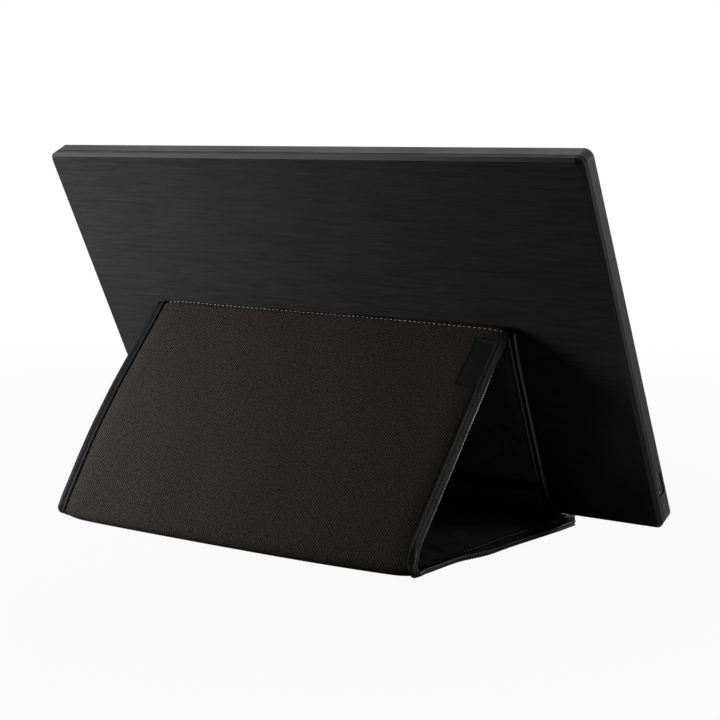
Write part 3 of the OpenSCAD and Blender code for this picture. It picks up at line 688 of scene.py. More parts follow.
def hem_piece():
    """The hem, as one closed section carried across the sleeve's mouth."""
    spots = np.array([(rear_top[0] + d * down_rear[0] - depth * out_rear[0],
        rear_top[1] + d * down_rear[1] - depth * out_rear[1]) for d, depth in hem_outline()])
    x = np.linspace(side_low + 0.0004, side_high - 0.0004, 130)
    grid = spread_out(x, spots[:, 0], spots[:, 1])
    sway = 0.00015 * drift(grid, 0.018, 31)
    grid = grid + sway[:, :, None] * np.array([0, *down_rear])
    count = len(spots)
    around = np.arange(count)
    faces = []
    for i in range(len(x) - 1):
        for j in around:
            k = (j + 1) % count
            faces.append((i * count + j, i * count + k, (i + 1) * count + k, (i + 1) * count + j))
    faces.append(tuple(around[::-1]))
    faces.append(tuple(around + (len(x) - 1) * count))
    mesh = bpy.data.meshes.new("hem")
    mesh.from_pydata(grid.reshape(-1, 3).tolist(), [], [tuple(int(v) for v in f) for f in faces])
    made = placed("hem_mouth", mesh)
    tidy_normals(made)
    round_over(mesh, 60)
    mesh.materials.append(binding)
    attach(made, "rear_panel")


binding = binding_finish()
hem_piece()

# ---------------------------------------------------------------- the edge binding
# A strip of smooth black coated fabric is folded over every raw edge and sewn down by hand,
# so that it shows narrower on one side of the cover than on the other. Its folded edge
# shines. On the panels it wraps the whole thickness, and on the flap a single layer.

corner_radius = 0.007
folded_part = 0.0024
waver, waver_size, waver_seed = 0.00018, 0.02, 5


def sweep_tree():
    """Geometry Nodes: a strip of one profile, swept along a line whose points say how they face."""
    tree, into, out = new_group("Sewn binding", "GeometryNodeTree",
        [("Line", "Geometry", None), ("Profile", "Object", None), ("Finish", "Material", None)],
        [("Strip", "Geometry")])
    path = put(tree, "GeometryNodeMeshToCurve", {0: into["Line"]})
    facing = put(tree, "GeometryNodeInputNamedAttribute", {"Name": "facing"},
        data_type="FLOAT_VECTOR")
    turned = put(tree, "GeometryNodeSetCurveNormal", {"Curve": path.outputs[0]}, mode="FREE")
    tree.links.new(facing.outputs[0], turned.inputs["Normal"])
    profile = put(tree, "GeometryNodeObjectInfo", {"Object": into["Profile"]})
    shape = put(tree, "GeometryNodeMeshToCurve", {0: profile.outputs["Geometry"]})
    strip = put(tree, "GeometryNodeCurveToMesh", {"Curve": turned.outputs[0],
        "Profile Curve": shape.outputs[0], "Fill Caps": True})
    whole = put(tree, "GeometryNodeRealizeInstances", {0: strip.outputs[0]})
    dressed = put(tree, "GeometryNodeSetMaterial", {0: whole.outputs[0],
        "Material": into["Finish"]})
    tree.links.new(dressed.outputs[0], out["Strip"])
    return tree


def wire(name, points, closed=False, facing=None):
    """A line of points as a mesh of edges, which a tree turns into a curve."""
    mesh = bpy.data.meshes.new(name)
    count = len(points)
    edges = [(i, (i + 1) % count) for i in range(count if closed else count - 1)]
    mesh.from_pydata([tuple(p) for p in points], edges, [])
    if facing is not None:
        mesh.attributes.new("facing", "FLOAT_VECTOR", "POINT").data.foreach_set(
            "vector", np.array(facing, np.float32).ravel())
    return placed(name, mesh)


def bake(name, carrier, tree, **inputs):
    """Runs a tree on a carrier, and keeps its result as a plain mesh in a piece of its own."""
    modifier = carrier.modifiers.new("Tree", "NODES")
    modifier.node_group = tree
    sockets = {s.name: s.identifier for s in tree.interface.items_tree if s.in_out == "INPUT"}
    for label, value in inputs.items():
        modifier[sockets[label.replace("_", " ")]] = value
    carrier.update_tag()
    bpy.context.view_layer.update()
    depsgraph = bpy.context.evaluated_depsgraph_get()
    mesh = bpy.data.meshes.new_from_object(carrier.evaluated_get(depsgraph))
    mesh.name = name
    carrier.modifiers.remove(modifier)
    bpy.data.objects.remove(carrier)
    return placed(name, mesh)


def binding_profile(name, height, lift):
    """The folded strip's outline: x out of the panel, y in from its edge, middle at the origin."""
    half, wide, wall = height / 2, binding_width, min(0.0009, height / 3.6)
    roll, small = 0.78 * height, 0.24 * height
    shoulder = [(half, roll), (half * 0.97, roll * 0.8), (half * 0.84, roll * 0.6),
        (half * 0.62, roll * 0.4), (half * 0.36, roll * 0.24), (half * 0.14, roll * 0.16),
        (-half * 0.01, roll * 0.22)]
    cord = [(small * math.cos(a) - (half - small), small - small * math.sin(a))
        for a in np.linspace(math.radians(35), math.pi, 13)]
    folded_edge = shoulder + cord
    outer = [(half - 0.6 * lift, wide), (half + 0.7 * lift, wide - 0.00005),
        (half + lift, wide - 0.0004), (half + 0.85 * lift, wide - 0.0008),
        (half, wide - 0.0014), (half - 0.3 * lift, wide - 0.0019),
        (half + 0.1 * lift, roll + 0.0006)]
    inner = [(-half, 0.0023), (-half, wide - 0.0018), (-half - 0.9 * lift, wide - 0.0011),
        (-half - 0.9 * lift, wide - 0.0005), (-half + 0.0002, wide - 0.0001)]
    hollow = [(-half + wall, wide - 0.0004), (-half + wall, half), (0, wall), (half - wall, half),
        (half - wall, wide - 0.0002)]
    return wire(name, [(x, y, 0) for x, y in outer + folded_edge + inner + hollow], closed=True)


def side_path(x, first, last, depth):
    """A line along one side edge of the cover, and how its points face."""
    steps = range(first, last + 1)
    moved = hang(np.full(len(steps), x), along[first:last + 1])
    moved[:, 2] += slumped(x, along[first:last + 1]) * (along[first:last + 1] < along[NEAR_IN])
    points = [np.array((x, *(line[i] - outward[i] * depth))) + d for i, d in zip(steps, moved)]
    return points, [(0, *outward[i]) for i in steps]


def tip_path(start_x, end_x, y, z, facing):
    """A line across a tip, with both round corners, from the end of one side to the next."""
    way = 1 if end_x > start_x else -1
    turns = np.linspace(0, math.pi / 2, 9)
    a, b = start_x + way * corner_radius, end_x - way * corner_radius
    middle = y + corner_radius
    a, b = (a - tip_spread, b) if way > 0 else (a, b - tip_spread)
    first = [(a - way * corner_radius * math.cos(t), middle - corner_radius * math.sin(t), z)
        for t in turns]
    across = [(x, y, z) for x in np.linspace(a, b, 60)[1:-1]]
    last = [(b + way * corner_radius * math.sin(t), middle - corner_radius * math.cos(t), z)
        for t in turns]
    points = first + across + last
    return points, [(0, 0, facing)] * len(points)


def chain(*parts):
    """Several lines as one."""
    points, facing = [], []
    for p, f in parts:
        points += p
        facing += f
    return points, facing


def hung(spot):
    """How far the cloth under the base hangs at a spot of the binding or its stitches."""
    back = np.float64(along[NEAR_IN] - (near.y - spot.y))
    return min(float(slumped(np.float64(spot.x), back)), edge_slump)


def soften(made, seed):
    """Moves a sewn strip's points a little, as a hand-fed binding wavers, and lets it slump.
    Past the folded edge its faces are drawn in or out to the width of their side."""
    for vertex in made.data.vertices:
        spot = vertex.co
        flat = spot.z < panel + 0.0006 and spot.y < near.y
        spot += waver * noise.noise_vector(spot / waver_size + Vector((seed, 0, 0)))
        kept = float(smooth(spot.y, tip_y + 0.009, tip_y + 0.022))
        for edge, way, face in ((side_low, 1, low_face), (side_high, -1, high_face)):
            inwards = way * (spot.x - edge) - folded_part
            if 0 < inwards < 0.006:
                spread = (face - folded_part) / (binding_width - folded_part) - 1
                spot.x += way * inwards * kept * spread
        if flat:
            inset = min(spot.x - side_low, side_high - spot.x, spot.y - tip_y)
            held = float(smooth(spot.z, 0.0012, 0.0035) * smooth(inset, 0.0005, 0.0024))
            spot.z = max(spot.z, 0.0) - hung(spot) * (1 - 0.88 * held)


noise.seed_set(waver_seed)  # unset, the clock would choose noise_vector's pattern in each run
sewn = sweep_tree()
thick_profile = binding_profile("thick_profile", panel, 0.0005)
thin_profile = binding_profile("thin_profile", 0.002, 0.00022)


def binding_piece(name, path, profile, bodies, joint_ends, nodes, seed):
    """One length of binding along a path, on one body or running from one to the next."""
    carrier = wire(name + "_line", path[0], facing=path[1])
    made = bake(name, carrier, sewn, Profile=profile, Finish=binding)
    soften(made, seed)
    round_over(made.data, 60)
    carry(made, bodies, joint_ends)
    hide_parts(*nodes)


def reverse(path):
    """The same line, run the other way."""
    return path[0][::-1], path[1][::-1]


half = panel / 2
base_corner = int(np.searchsorted(along, corner_radius)) + 1
low_side = reverse(side_path(side_low, base_corner, before_ridge, half))
high_side = side_path(side_high, base_corner, before_ridge, half)
base_tip = tip_path(side_low, side_high, tip_y, half, -1)
binding_piece("binding_base_and_front", chain(low_side, base_tip, high_side), thick_profile,
    ("base", "front_panel"), (NEAR_IN, NEAR_OUT),
    ["base_binding", "near_fold_binding", "front_binding"], 1)
for side, x in (("low", side_low), ("high", side_high)):
    over = side_path(x, before_ridge, after_ridge, half)
    down = side_path(x, after_ridge, MOUTH - 1, half)
    if side == "low":
        over, down = reverse(over), reverse(down)
    binding_piece("binding_ridge_" + side, over, thick_profile, ("front_panel", "rear_panel"),
        (RIDGE_IN, RIDGE_OUT), ["ridge_fold_binding"], 2)
    binding_piece("binding_rear_" + side, down, thick_profile, ("rear_panel",), None,
        ["rear_binding"], 3)
flap_half = 0.001
flap_corner = int(np.searchsorted(along, along[FLAP_TIP] - corner_radius)) - 1
flap_high = side_path(side_high, MOUTH - 4, flap_corner, flap_half)
flap_low = reverse(side_path(side_low, MOUTH - 4, flap_corner, flap_half))
flap_tip = tip_path(side_high, side_low, tip_y + flap_stop, lip.z - flap_half, 1)
binding_piece("binding_flap", chain(flap_high, flap_tip, flap_low), thin_profile,
    ("rear_panel", "flap"), (MOUTH, FLAT), ["flap_binding"], 4)
for shape in (thick_profile, thin_profile):
    bpy.data.objects.remove(shape)

# ---------------------------------------------------------------- the stitches
# Rows of polyester thread show. A pale row along the ridge quilts the fold to the twill
# behind it. A black row runs outside along every binding and a grey one inside, and they
# hold it down. A stitch is given as its pitch, its length and its thread's thickness.

ridge_thread = (0.36, 0.345, 0.33, 1)
binding_thread = grey(0.010)
inside_thread = grey(0.07)
ridge_stitch = 0.0034, 0.0025, 0.00055
holding_stitch = 0.003, 0.0021, 0.00034
inside_stitch = 0.003, 0.0022, 0.0005


def thread_finish(name, colour, rough):
    """Twisted polyester thread, soiled here and there."""
    made, tree, shader = new_material(name, Roughness=rough)
    place = where(tree)
    lay = put(tree, "ShaderNodeTexWave", {"Vector": place, "Scale": 900.0, "Distortion": 2.0})
    soiled = use(tree, patch_mask, Vector=place, Size=0.01)["Mask"]
    dark = darker(colour, 0.6)
    dress(tree, shader,
        Base_Color=between(tree, soiled, dark, colour),
        Normal=bump(tree, lay.outputs["Fac"], 0.00005))
    return made


def stitch_tree():
    """Geometry Nodes: stitches of one length and pitch, laid end to end along a line."""
    tree, into, out = new_group("Row of stitches", "GeometryNodeTree",
        [("Line", "Geometry", None), ("Pitch", "Float", 0.0034), ("Length", "Float", 0.0024),
         ("Thickness", "Float", 0.0005), ("Waver", "Float", 0.08), ("Finish", "Material", None)],
        [("Row", "Geometry")])
    path = put(tree, "GeometryNodeMeshToCurve", {0: into["Line"]})
    spaced = put(tree, "GeometryNodeResampleCurve", {"Curve": path.outputs[0],
        "Length": into["Pitch"]}, mode="LENGTH")
    tangent = put(tree, "GeometryNodeInputTangent")
    facing = put(tree, "GeometryNodeInputNamedAttribute", {"Name": "facing"},
        data_type="FLOAT_VECTOR")
    lie = put(tree, "FunctionNodeAxesToRotation", {0: facing.outputs[0], 1: tangent.outputs[0]},
        primary_axis="Z", secondary_axis="X")
    chance = put(tree, "FunctionNodeRandomValue", {"Seed": 7}, data_type="FLOAT_VECTOR")
    tree.links.new(times(tree, into["Waver"], -1.0), chance.inputs[0])
    tree.links.new(into["Waver"], chance.inputs[1])
    tilt = put(tree, "FunctionNodeEulerToRotation", {0: chance.outputs[0]})
    turned = put(tree, "FunctionNodeRotateRotation", {0: lie.outputs[0], 1: tilt.outputs[0]},
        rotation_space="LOCAL")
    ball = put(tree, "GeometryNodeMeshUVSphere", {"Segments": 7, "Rings": 6, "Radius": 0.5})
    size = put(tree, "ShaderNodeCombineXYZ", {0: into["Length"], 1: into["Thickness"],
        2: into["Thickness"]})
    stitch = put(tree, "GeometryNodeTransform", {"Geometry": ball.outputs[0],
        "Scale": size.outputs[0]})
    laid = put(tree, "GeometryNodeInstanceOnPoints", {"Points": spaced.outputs[0],
        "Instance": stitch.outputs[0], "Rotation": turned.outputs[0]})
    whole = put(tree, "GeometryNodeRealizeInstances", {0: laid.outputs[0]})
    smooth_row = put(tree, "GeometryNodeSetShadeSmooth", {0: whole.outputs[0]})
    dressed = put(tree, "GeometryNodeSetMaterial", {0: smooth_row.outputs[0],
        "Material": into["Finish"]})
    tree.links.new(dressed.outputs[0], out["Row"])
    return tree


def twill_spot(x, s, rise):
    """A point just over the twill at one column and line length, and how the twill faces there."""
    i = float(np.interp(s, along, np.arange(len(along))))
    low = int(i)
    part = i - low
    places = slice(low, low + 2)
    over = skin_rise(np.array([x]), low, low + 1)[0]
    moved = hang(np.array([x, x]), along[places])
    weights = np.array([1 - part, part])
    face = weights @ outward[places]
    spot = np.array([x, *(weights @ line[places])]) + weights @ moved
    spot[1:] += face * (weights @ over + rise)
    return spot, (0, *face)


row_of_stitches = stitch_tree()
pale_thread = thread_finish("Pale thread", ridge_thread, 0.55)
black_thread = thread_finish("Black thread", binding_thread, 0.75)
inner_thread = thread_finish("Grey thread", inside_thread, 0.6)


def stitch_row(name, path, stitch, finish):
    """One row of stitches along a path."""
    pitch, length, thickness = stitch
    carrier = wire(name + "_line", path[0], facing=path[1])
    return bake(name, carrier, row_of_stitches, Pitch=pitch, Length=length, Thickness=thickness,
        Finish=finish)


def ridge_row():
    """The pale row, which wanders a little from the ridge's fold as it crosses."""
    lengths = np.linspace(along[RIDGE_IN] + 0.0042, along[RIDGE_IN] + 0.0006, 260)
    columns_in = np.linspace(side_high - 0.0085, side_low + 0.0056, 260)
    path = list(zip(*(twill_spot(x, s, 0.00005) for x, s in zip(columns_in, lengths))))
    made = stitch_row("stitches_ridge", path, ridge_stitch, pale_thread)
    carry(made, ("front_panel", "rear_panel"), (RIDGE_IN, RIDGE_OUT))


ridge_row()


def binding_rows():
    """The rows that hold the bindings down, three quarters of the way in from each edge."""
    sides = (("low", side_low, 1, low_face), ("high", side_high, -1, high_face))
    inside = (("base", base_corner, NEAR_IN - 3, "base"),
        ("front", NEAR_OUT + 6, RIDGE_IN - 2, "front_panel"),
        ("rear", RIDGE_OUT + 2, MOUTH - 4, "rear_panel"))
    outside = (("near", base_corner, before_ridge, ("base", "front_panel"), (NEAR_IN, NEAR_OUT)),
        ("ridge", before_ridge, after_ridge, ("front_panel", "rear_panel"), (RIDGE_IN, RIDGE_OUT)),
        ("rear", after_ridge, MOUTH - 1, ("rear_panel",), None))
    for side, x, way, face in sides:
        for part, first, last, bodies, ends in outside:
            points, facing = side_path(x, first, last, -0.00012)
            inset = np.array([way * (face - 0.0017), 0, 0])
            made = stitch_row("stitches_%s_%s" % (part, side),
                ([point + inset for point in points], facing), holding_stitch, black_thread)
            if part == "near":
                for vertex in made.data.vertices:
                    spot = vertex.co
                    if spot.z < panel * 0.6 and spot.y < near.y:
                        spot.z -= hung(spot)
            carry(made, bodies, ends)
        for part, first, last, body in inside:
            points, facing = side_path(x, first, last, panel + 0.0001)
            inset = np.array([way * (face - 0.0012), 0, -0.0003 if part == "base" else 0])
            made = stitch_row("stitches_inside_%s_%s" % (part, side),
                ([point + inset for point in points], facing), inside_stitch, inner_thread)
            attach(made, body)


binding_rows()

# ---------------------------------------------------------------- the label
# A small blank patch of moulded soft plastic sits on the front panel near the ridge, with
# one side under the binding. Its face is sunk within a thin rim and its corners are round.

label_low, label_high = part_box("label_patch")
label_thick = 0.0006
label_rim = 0.0009
label_skew = 0.12
label_round = 0.0016
label_down, label_half = 0.0218, 0.0165
label_tuck = 0.004


def label_finish():
    """Soft black plastic with a dull fine grain."""
    made, tree, shader = new_material("Label plastic", Specular_IOR_Level=0.25)
    place = where(tree)
    grain = noise_of(tree, place, 2400.0)
    rubbed = use(tree, patch_mask, Vector=place, Size=0.006)["Mask"]
    dress(tree, shader,
        Base_Color=between(tree, rubbed, (0.0058, 0.0058, 0.006, 1), (0.009, 0.009, 0.0093, 1)),
        Roughness=between(tree, rubbed, 0.5, 0.62),
        Normal=bump(tree, grain, 0.00004))
    return made


def label_piece():
    """The label, as rings of points from its foot over its rim to the middle of its face."""
    middle_s = along[RIDGE_IN] - label_down
    half_x = (label_high.x - label_low.x + label_tuck) / 2
    middle_x = label_high.x - half_x
    work = bmesh.new()

    def ring(inset, rise):
        spots = []
        a, b, r = half_x - inset, label_half - inset, max(label_round - inset, 0.0003)
        for cx, cs, turn in ((1, 1, 0), (-1, 1, 90), (-1, -1, 180), (1, -1, 270)):
            for k in range(7):
                t = math.radians(turn + 15 * k)
                x = middle_x + cx * (a - r) + r * math.cos(t)
                s = middle_s + cs * (b - r) + r * math.sin(t)
                s += label_skew * (x - middle_x - half_x)
                spots.append(work.verts.new(twill_spot(x, s, rise + 0.0002)[0]))
        return spots

    profile = [(0.0, -1.0), (0.0, 0.6), (0.0002, 0.93), (0.0005, 1.0), (label_rim, 0.95),
        (label_rim + 0.0003, 0.55), (0.0025, 0.5), (0.0042, 0.52)]
    rings = [ring(inset, label_thick * share) for inset, share in profile]
    for outer_ring, inner_ring in zip(rings, rings[1:]):
        for k in range(len(outer_ring)):
            n = (k + 1) % len(outer_ring)
            work.faces.new((outer_ring[k], outer_ring[n], inner_ring[n], inner_ring[k]))
    work.faces.new(rings[-1])
    work.faces.new(rings[0][::-1])
    bmesh.ops.recalc_face_normals(work, faces=work.faces)
    mesh = bpy.data.meshes.new("label")
    work.to_mesh(mesh)
    work.free()
    round_over(mesh, 50)
    made = placed("label_blank", mesh)
    mesh.materials.append(label_finish())
    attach(made, "front_panel")
    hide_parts("label_patch")


label_piece()

# ---------------------------------------------------------------- the closure tapes
# Two woven nylon tapes hold the flap down on the base's tip. One face is rows of small
# moulded hooks and the other a brushed pile of loops, and both are sewn along their edges.

hook_pitch = 0.0013
hook_height = 0.0004


def hook_finish():
    """Rows of small hooks, with painted light on their tops and painted shade in the gaps."""
    made, tree, shader = new_material("Nylon hooks", Roughness=0.6, Specular_IOR_Level=0.4)
    hooks = put(tree, "ShaderNodeTexVoronoi", {"Vector": where(tree), "Scale": 1 / hook_pitch,
        "Randomness": 0.15})
    tops = ranged(tree, hooks.outputs[0], 0.5, 0.15)
    # the hook tops get painted light and the gaps between them painted shade
    dress(tree, shader,
        Base_Color=between(tree, tops, grey(0.003), grey(0.02)),
        Normal=bump(tree, tops, hook_height))
    return made


def loop_finish():
    """A matted pile of loops, with painted shade in the pile's hollows and random patches of pulled
    pile.
    """
    made, tree, shader = new_material("Nylon loops", Roughness=0.9, Specular_IOR_Level=0.2)
    place = where(tree)
    pile = noise_of(tree, place, 1600.0, 4.0, 0.7, 1.2)
    pulled = use(tree, patch_mask, Vector=place, Size=0.012)["Mask"]
    # the pile's height paints shade into its hollows; the pulled patches are random tone
    shade = reckon(tree, "MULTIPLY_ADD", pulled, 0.4, pile)
    dress(tree, shader,
        Base_Color=between(tree, shade, grey(0.002), grey(0.014)),
        Normal=bump(tree, pile, hook_height))
    return made


wear(["base_tape"], hook_finish())
wear(["flap_tape"], loop_finish())

# ---------------------------------------------------------------- the display
# The picture is made by a stack in a white moulded frame on a rolled metal tray: a white
# reflector, a clear light guide with a strip of lamps along its lower edge, diffusing and
# prism films, and a dark anti-glare front. A foam gasket seals it against the bezel.

picture_wide, picture_high = 0.3442, 0.1936
lamp_count = 36
dot_pitch = 0.0016
prism_pitch = 0.0006

lift_axis = Vector(next(j["axis"] for j in frame["joints"] if j["name"] == "monitor_lift"))
lean = math.atan2(lift_axis.y, lift_axis.z)


def on_panel(tree):
    """Places on the leaning monitor: X across it, Y up it, and Z from its back to its front."""
    return put(tree, "ShaderNodeMapping", {"Vector": where(tree),
        "Rotation": (lean - math.pi / 2, 0, 0)}).outputs[0]


def panel_box(name):
    """A solid's lowest and highest places on the leaning monitor."""
    turn = Matrix.Rotation(lean - math.pi / 2, 3, "X")
    spots = np.array([turn @ v.co for v in frame["nodes"][name].data.vertices])
    return spots.min(axis=0), spots.max(axis=0)


def stripes(tree, value, pitch, share, start=0.0):
    """A mask of even stripes along one number: their pitch, and the share that each fills."""
    from_start = reckon(tree, "SUBTRACT", value, start)
    turn = reckon(tree, "FRACT", reckon(tree, "DIVIDE", from_start, pitch))
    off_middle = reckon(tree, "ABSOLUTE", reckon(tree, "SUBTRACT", turn, 0.5))
    return ranged(tree, off_middle, share / 2 + 0.03, share / 2 - 0.03)


def brushed_lines():
    """Shader group: crisp parallel lines along X in rows, as a height and a mask of streaks."""
    tree, into, out = new_group("Brushed lines", "ShaderNodeTree",
        [("Vector", "Vector", None), ("Fineness", "Float", 1000.0), ("Run", "Float", 30.0)],
        [("Height", "Float"), ("Streak", "Float")])
    place = parts_of(tree, into["Vector"])

    def rows(fine, run, shift):
        row = reckon(tree, "FLOOR", times(tree, place[1], times(tree, into["Fineness"], fine)))
        spot = put(tree, "ShaderNodeCombineXYZ", {2: shift, 1: times(tree, row, 7.31),
            0: times(tree, place[0], times(tree, into["Run"], run))})
        return noise_of(tree, spot.outputs[0], 1.0, rough=0.6)

    broad, middle, fine = rows(0.5, 0.5, 0.0), rows(1.0, 1.0, 5.0), rows(1.9, 2.0, 9.0)
    streak = reckon(tree, "MULTIPLY_ADD", broad, 0.2,
        reckon(tree, "MULTIPLY_ADD", middle, 0.45, times(tree, fine, 0.35)))
    tree.links.new(fine, out["Height"])
    tree.links.new(ranged(tree, streak, 0.39, 0.61), out["Streak"])
    return tree


fine_lines = brushed_lines()


def metal_finish(name, colour, rough, fineness, run):
    """Sheet metal or plating with the fine lines of its rolling or drawing."""
    made, tree, shader = new_material(name, Metallic=1.0)
    place = on_panel(tree)
    lines = use(tree, fine_lines, Vector=place, Fineness=fineness, Run=run)
    dull = use(tree, patch_mask, Vector=place, Size=0.02)["Mask"]
    dark = darker(colour, 0.8)
    dress(tree, shader,
        Base_Color=between(tree, lines["Streak"], dark, colour),
        Roughness=between(tree, dull, rough, rough + 0.14),
        Normal=bump(tree, lines["Height"], 0.00001))
    return made


def moulded_finish(name, colour, rough, grain=0.00035, depth=0.00003):
    """Moulded plastic with a fine spark-eroded texture."""
    made, tree, shader = new_material(name, Specular_IOR_Level=0.35)
    place = where(tree)
    speckle = noise_of(tree, place, 1 / grain, 3.0)
    uneven = use(tree, patch_mask, Vector=place, Size=0.03)["Mask"]
    dark = darker(colour, 0.75)
    dress(tree, shader,
        Base_Color=between(tree, uneven, dark, colour),
        Roughness=between(tree, uneven, rough - 0.05, rough + 0.05),
        Normal=bump(tree, speckle, depth))
    return made


def foam_finish():
    """Closed-cell foam: a skin broken by small open cells, with painted shade in the cells."""
    made, tree, shader = new_material("Black foam", Roughness=0.95, Specular_IOR_Level=0.15)
    cells = put(tree, "ShaderNodeTexVoronoi", {"Vector": where(tree), "Scale": 2800.0}).outputs[0]
    # each cell's pit gets painted shade
    dress(tree, shader,
        Base_Color=between(tree, cells, grey(0.004), grey(0.018)),
        Normal=bump(tree, cells, 0.00015))
    return made


def guide_finish():
    """Clear acrylic with white dots printed on it, which grow away from the lamps."""
    made, tree, shader = new_material("Light guide", Transmission_Weight=0.85, IOR=1.49)
    place = on_panel(tree)
    low, high = panel_box("light_guide")
    dots = put(tree, "ShaderNodeTexVoronoi", {"Vector": place, "Scale": 1 / dot_pitch,
        "Randomness": 0.0}, voronoi_dimensions="2D").outputs[0]
    size = ranged(tree, parts_of(tree, place)[1], low[1], high[1], 0.12, 0.42)
    printed = ranged(tree, reckon(tree, "SUBTRACT", size, dots), -0.02, 0.02)
    dress(tree, shader,
        Base_Color=between(tree, printed, (0.72, 0.78, 0.80, 1), grey(0.9)),
        Roughness=between(tree, printed, 0.04, 0.6))
    return made


def film_finish(name, colour, rough):
    """A white film with fine prisms along X, a little uneven where it has cockled."""
    made, tree, shader = new_material(name, Specular_IOR_Level=0.5)
    place = on_panel(tree)
    prisms = stripes(tree, parts_of(tree, place)[1], prism_pitch, 0.5)
    cockled = use(tree, patch_mask, Vector=place, Size=0.05)["Mask"]
    dark = darker(colour, 0.93)
    dress(tree, shader,
        Base_Color=between(tree, cockled, dark, colour),
        Roughness=between(tree, cockled, rough, rough + 0.1),
        Normal=bump(tree, prisms, 0.00002))
    return made


def lamp_finish():
    """White lamp bodies on their strip, each with a yellow lens of phosphor."""
    made, tree, shader = new_material("Lamps", Specular_IOR_Level=0.5)
    low, high = panel_box("lamp_strip")
    across = parts_of(tree, on_panel(tree))[0]
    lens = stripes(tree, across, (high[0] - low[0]) / lamp_count, 0.3, low[0])
    dress(tree, shader,
        Base_Color=between(tree, lens, (0.72, 0.72, 0.68, 1), (0.78, 0.55, 0.10, 1)),
        Roughness=between(tree, lens, 0.5, 0.25))
    return made


def screen_finish():
    """The anti-glare front: a grey-black picture area, a blacker border, and a few smears."""
    made, tree, shader = new_material("Anti-glare screen", Specular_IOR_Level=0.5)
    low, high = panel_box("display_glass")
    place = on_panel(tree)
    across, up = parts_of(tree, place)[:2]
    past_side = reckon(tree, "SUBTRACT", reckon(tree, "ABSOLUTE", across), picture_wide / 2)
    off_middle = reckon(tree, "SUBTRACT", up, (low[1] + high[1]) / 2)
    past_end = reckon(tree, "SUBTRACT", reckon(tree, "ABSOLUTE", off_middle), picture_high / 2)
    border = ranged(tree, most(tree, past_side, past_end), -0.0001, 0.0001)
    smears = use(tree, patch_mask, Vector=place, Size=0.06, Detail=1.0)["Mask"]
    sparkle = noise_of(tree, place, 4000.0)
    dress(tree, shader,
        Base_Color=between(tree, border, (0.0095, 0.0098, 0.0110, 1), (0.004, 0.004, 0.0042, 1)),
        Roughness=between(tree, smears, 0.29, 0.33),
        Normal=bump(tree, sparkle, 0.000006))
    return made


wear(["panel_tray"], metal_finish("Rolled tray", (0.55, 0.56, 0.57, 1), 0.3, 1400.0, 18.0))
wear(["reflector_sheet"], film_finish("White reflector", (0.82, 0.82, 0.81, 1), 0.45))
wear(["light_guide"], guide_finish())
wear(["lamp_strip"], lamp_finish())
wear(["optical_films"], film_finish("Prism film", (0.74, 0.75, 0.76, 1), 0.25))
wear(["panel_frame"], moulded_finish("White frame plastic", (0.72, 0.72, 0.69, 1), 0.5))
wear(["display_glass"], screen_finish())
wear(["screen_gasket", "support_pads"], foam_finish())

# ---------------------------------------------------------------- the electronics
# Glass-fibre boards under green lacquer carry the chips. A black film keeps the main board
# off the tray, screws hold them, a tinned can shields the converter, a flat ribbon leads to
# the panel's own board, and a plated socket opens in the case's side.

track_pitch = 0.0007
pad_pitch = 0.0042
contact_pitch = 0.0009
conductor_pitch = 0.0005
plunger_height = 0.0004


def board_lacquer():
    """Green lacquer over copper tracks, with bare tinned pads."""
    made, tree, shader = new_material("Circuit board", Specular_IOR_Level=0.5)
    place = on_panel(tree)
    across, up = parts_of(tree, place)[:2]

    def tracks(run, side, shift):
        row = reckon(tree, "FLOOR", reckon(tree, "DIVIDE", side, track_pitch))
        spot = put(tree, "ShaderNodeCombineXYZ", {0: times(tree, run, 110.0),
            1: times(tree, row, 3.7), 2: shift})
        laid = noise_of(tree, spot.outputs[0], 1.0)
        return times(tree, stripes(tree, side, track_pitch, 0.5), ranged(tree, laid, 0.52, 0.53))

    copper = most(tree, tracks(across, up, 1.0), tracks(up, across, 6.0))
    spots = put(tree, "ShaderNodeTexVoronoi", {"Vector": place, "Scale": 1 / pad_pitch,
        "Randomness": 0.75}, voronoi_dimensions="2D").outputs[0]
    pads = ranged(tree, spots, 0.14, 0.12)
    lacquer = between(tree, copper, (0.010, 0.060, 0.030, 1), (0.018, 0.115, 0.055, 1))
    dress(tree, shader,
        Metallic=between(tree, pads, 0.0, 1.0),
        Base_Color=mixed(tree, pads, lacquer, (0.68, 0.67, 0.62, 1)),
        Roughness=between(tree, copper, 0.38, 0.32),
        Normal=bump(tree, most(tree, copper, pads), 0.00003))
    return made


def contact_finish(name, body, metal, pitch, share, rough):
    """Parallel conductors up a plastic body: a socket's contacts or a ribbon's wires."""
    made, tree, shader = new_material(name, Specular_IOR_Level=0.5)
    rows = stripes(tree, parts_of(tree, on_panel(tree))[1], pitch, share)
    dress(tree, shader,
        Base_Color=between(tree, rows, body, metal),
        Metallic=between(tree, rows, 0.0, 0.9),
        Roughness=between(tree, rows, rough + 0.1, rough),
        Normal=bump(tree, rows, 0.00003))
    return made


def switch_finish():
    """A nickel cover with a black plunger through it."""
    made, tree, shader = new_material("Push switch", Specular_IOR_Level=0.5)
    place = on_panel(tree)
    top = panel_box("push_switches")[1][2] - plunger_height
    plunger = ranged(tree, parts_of(tree, place)[2], top, top + 0.0001)
    dull = use(tree, patch_mask, Vector=place, Size=0.002)["Mask"]
    dress(tree, shader,
        Base_Color=between(tree, plunger, (0.56, 0.56, 0.54, 1), grey(0.012)),
        Metallic=between(tree, plunger, 1.0, 0.0),
        Roughness=between(tree, dull, 0.3, 0.45))
    return made


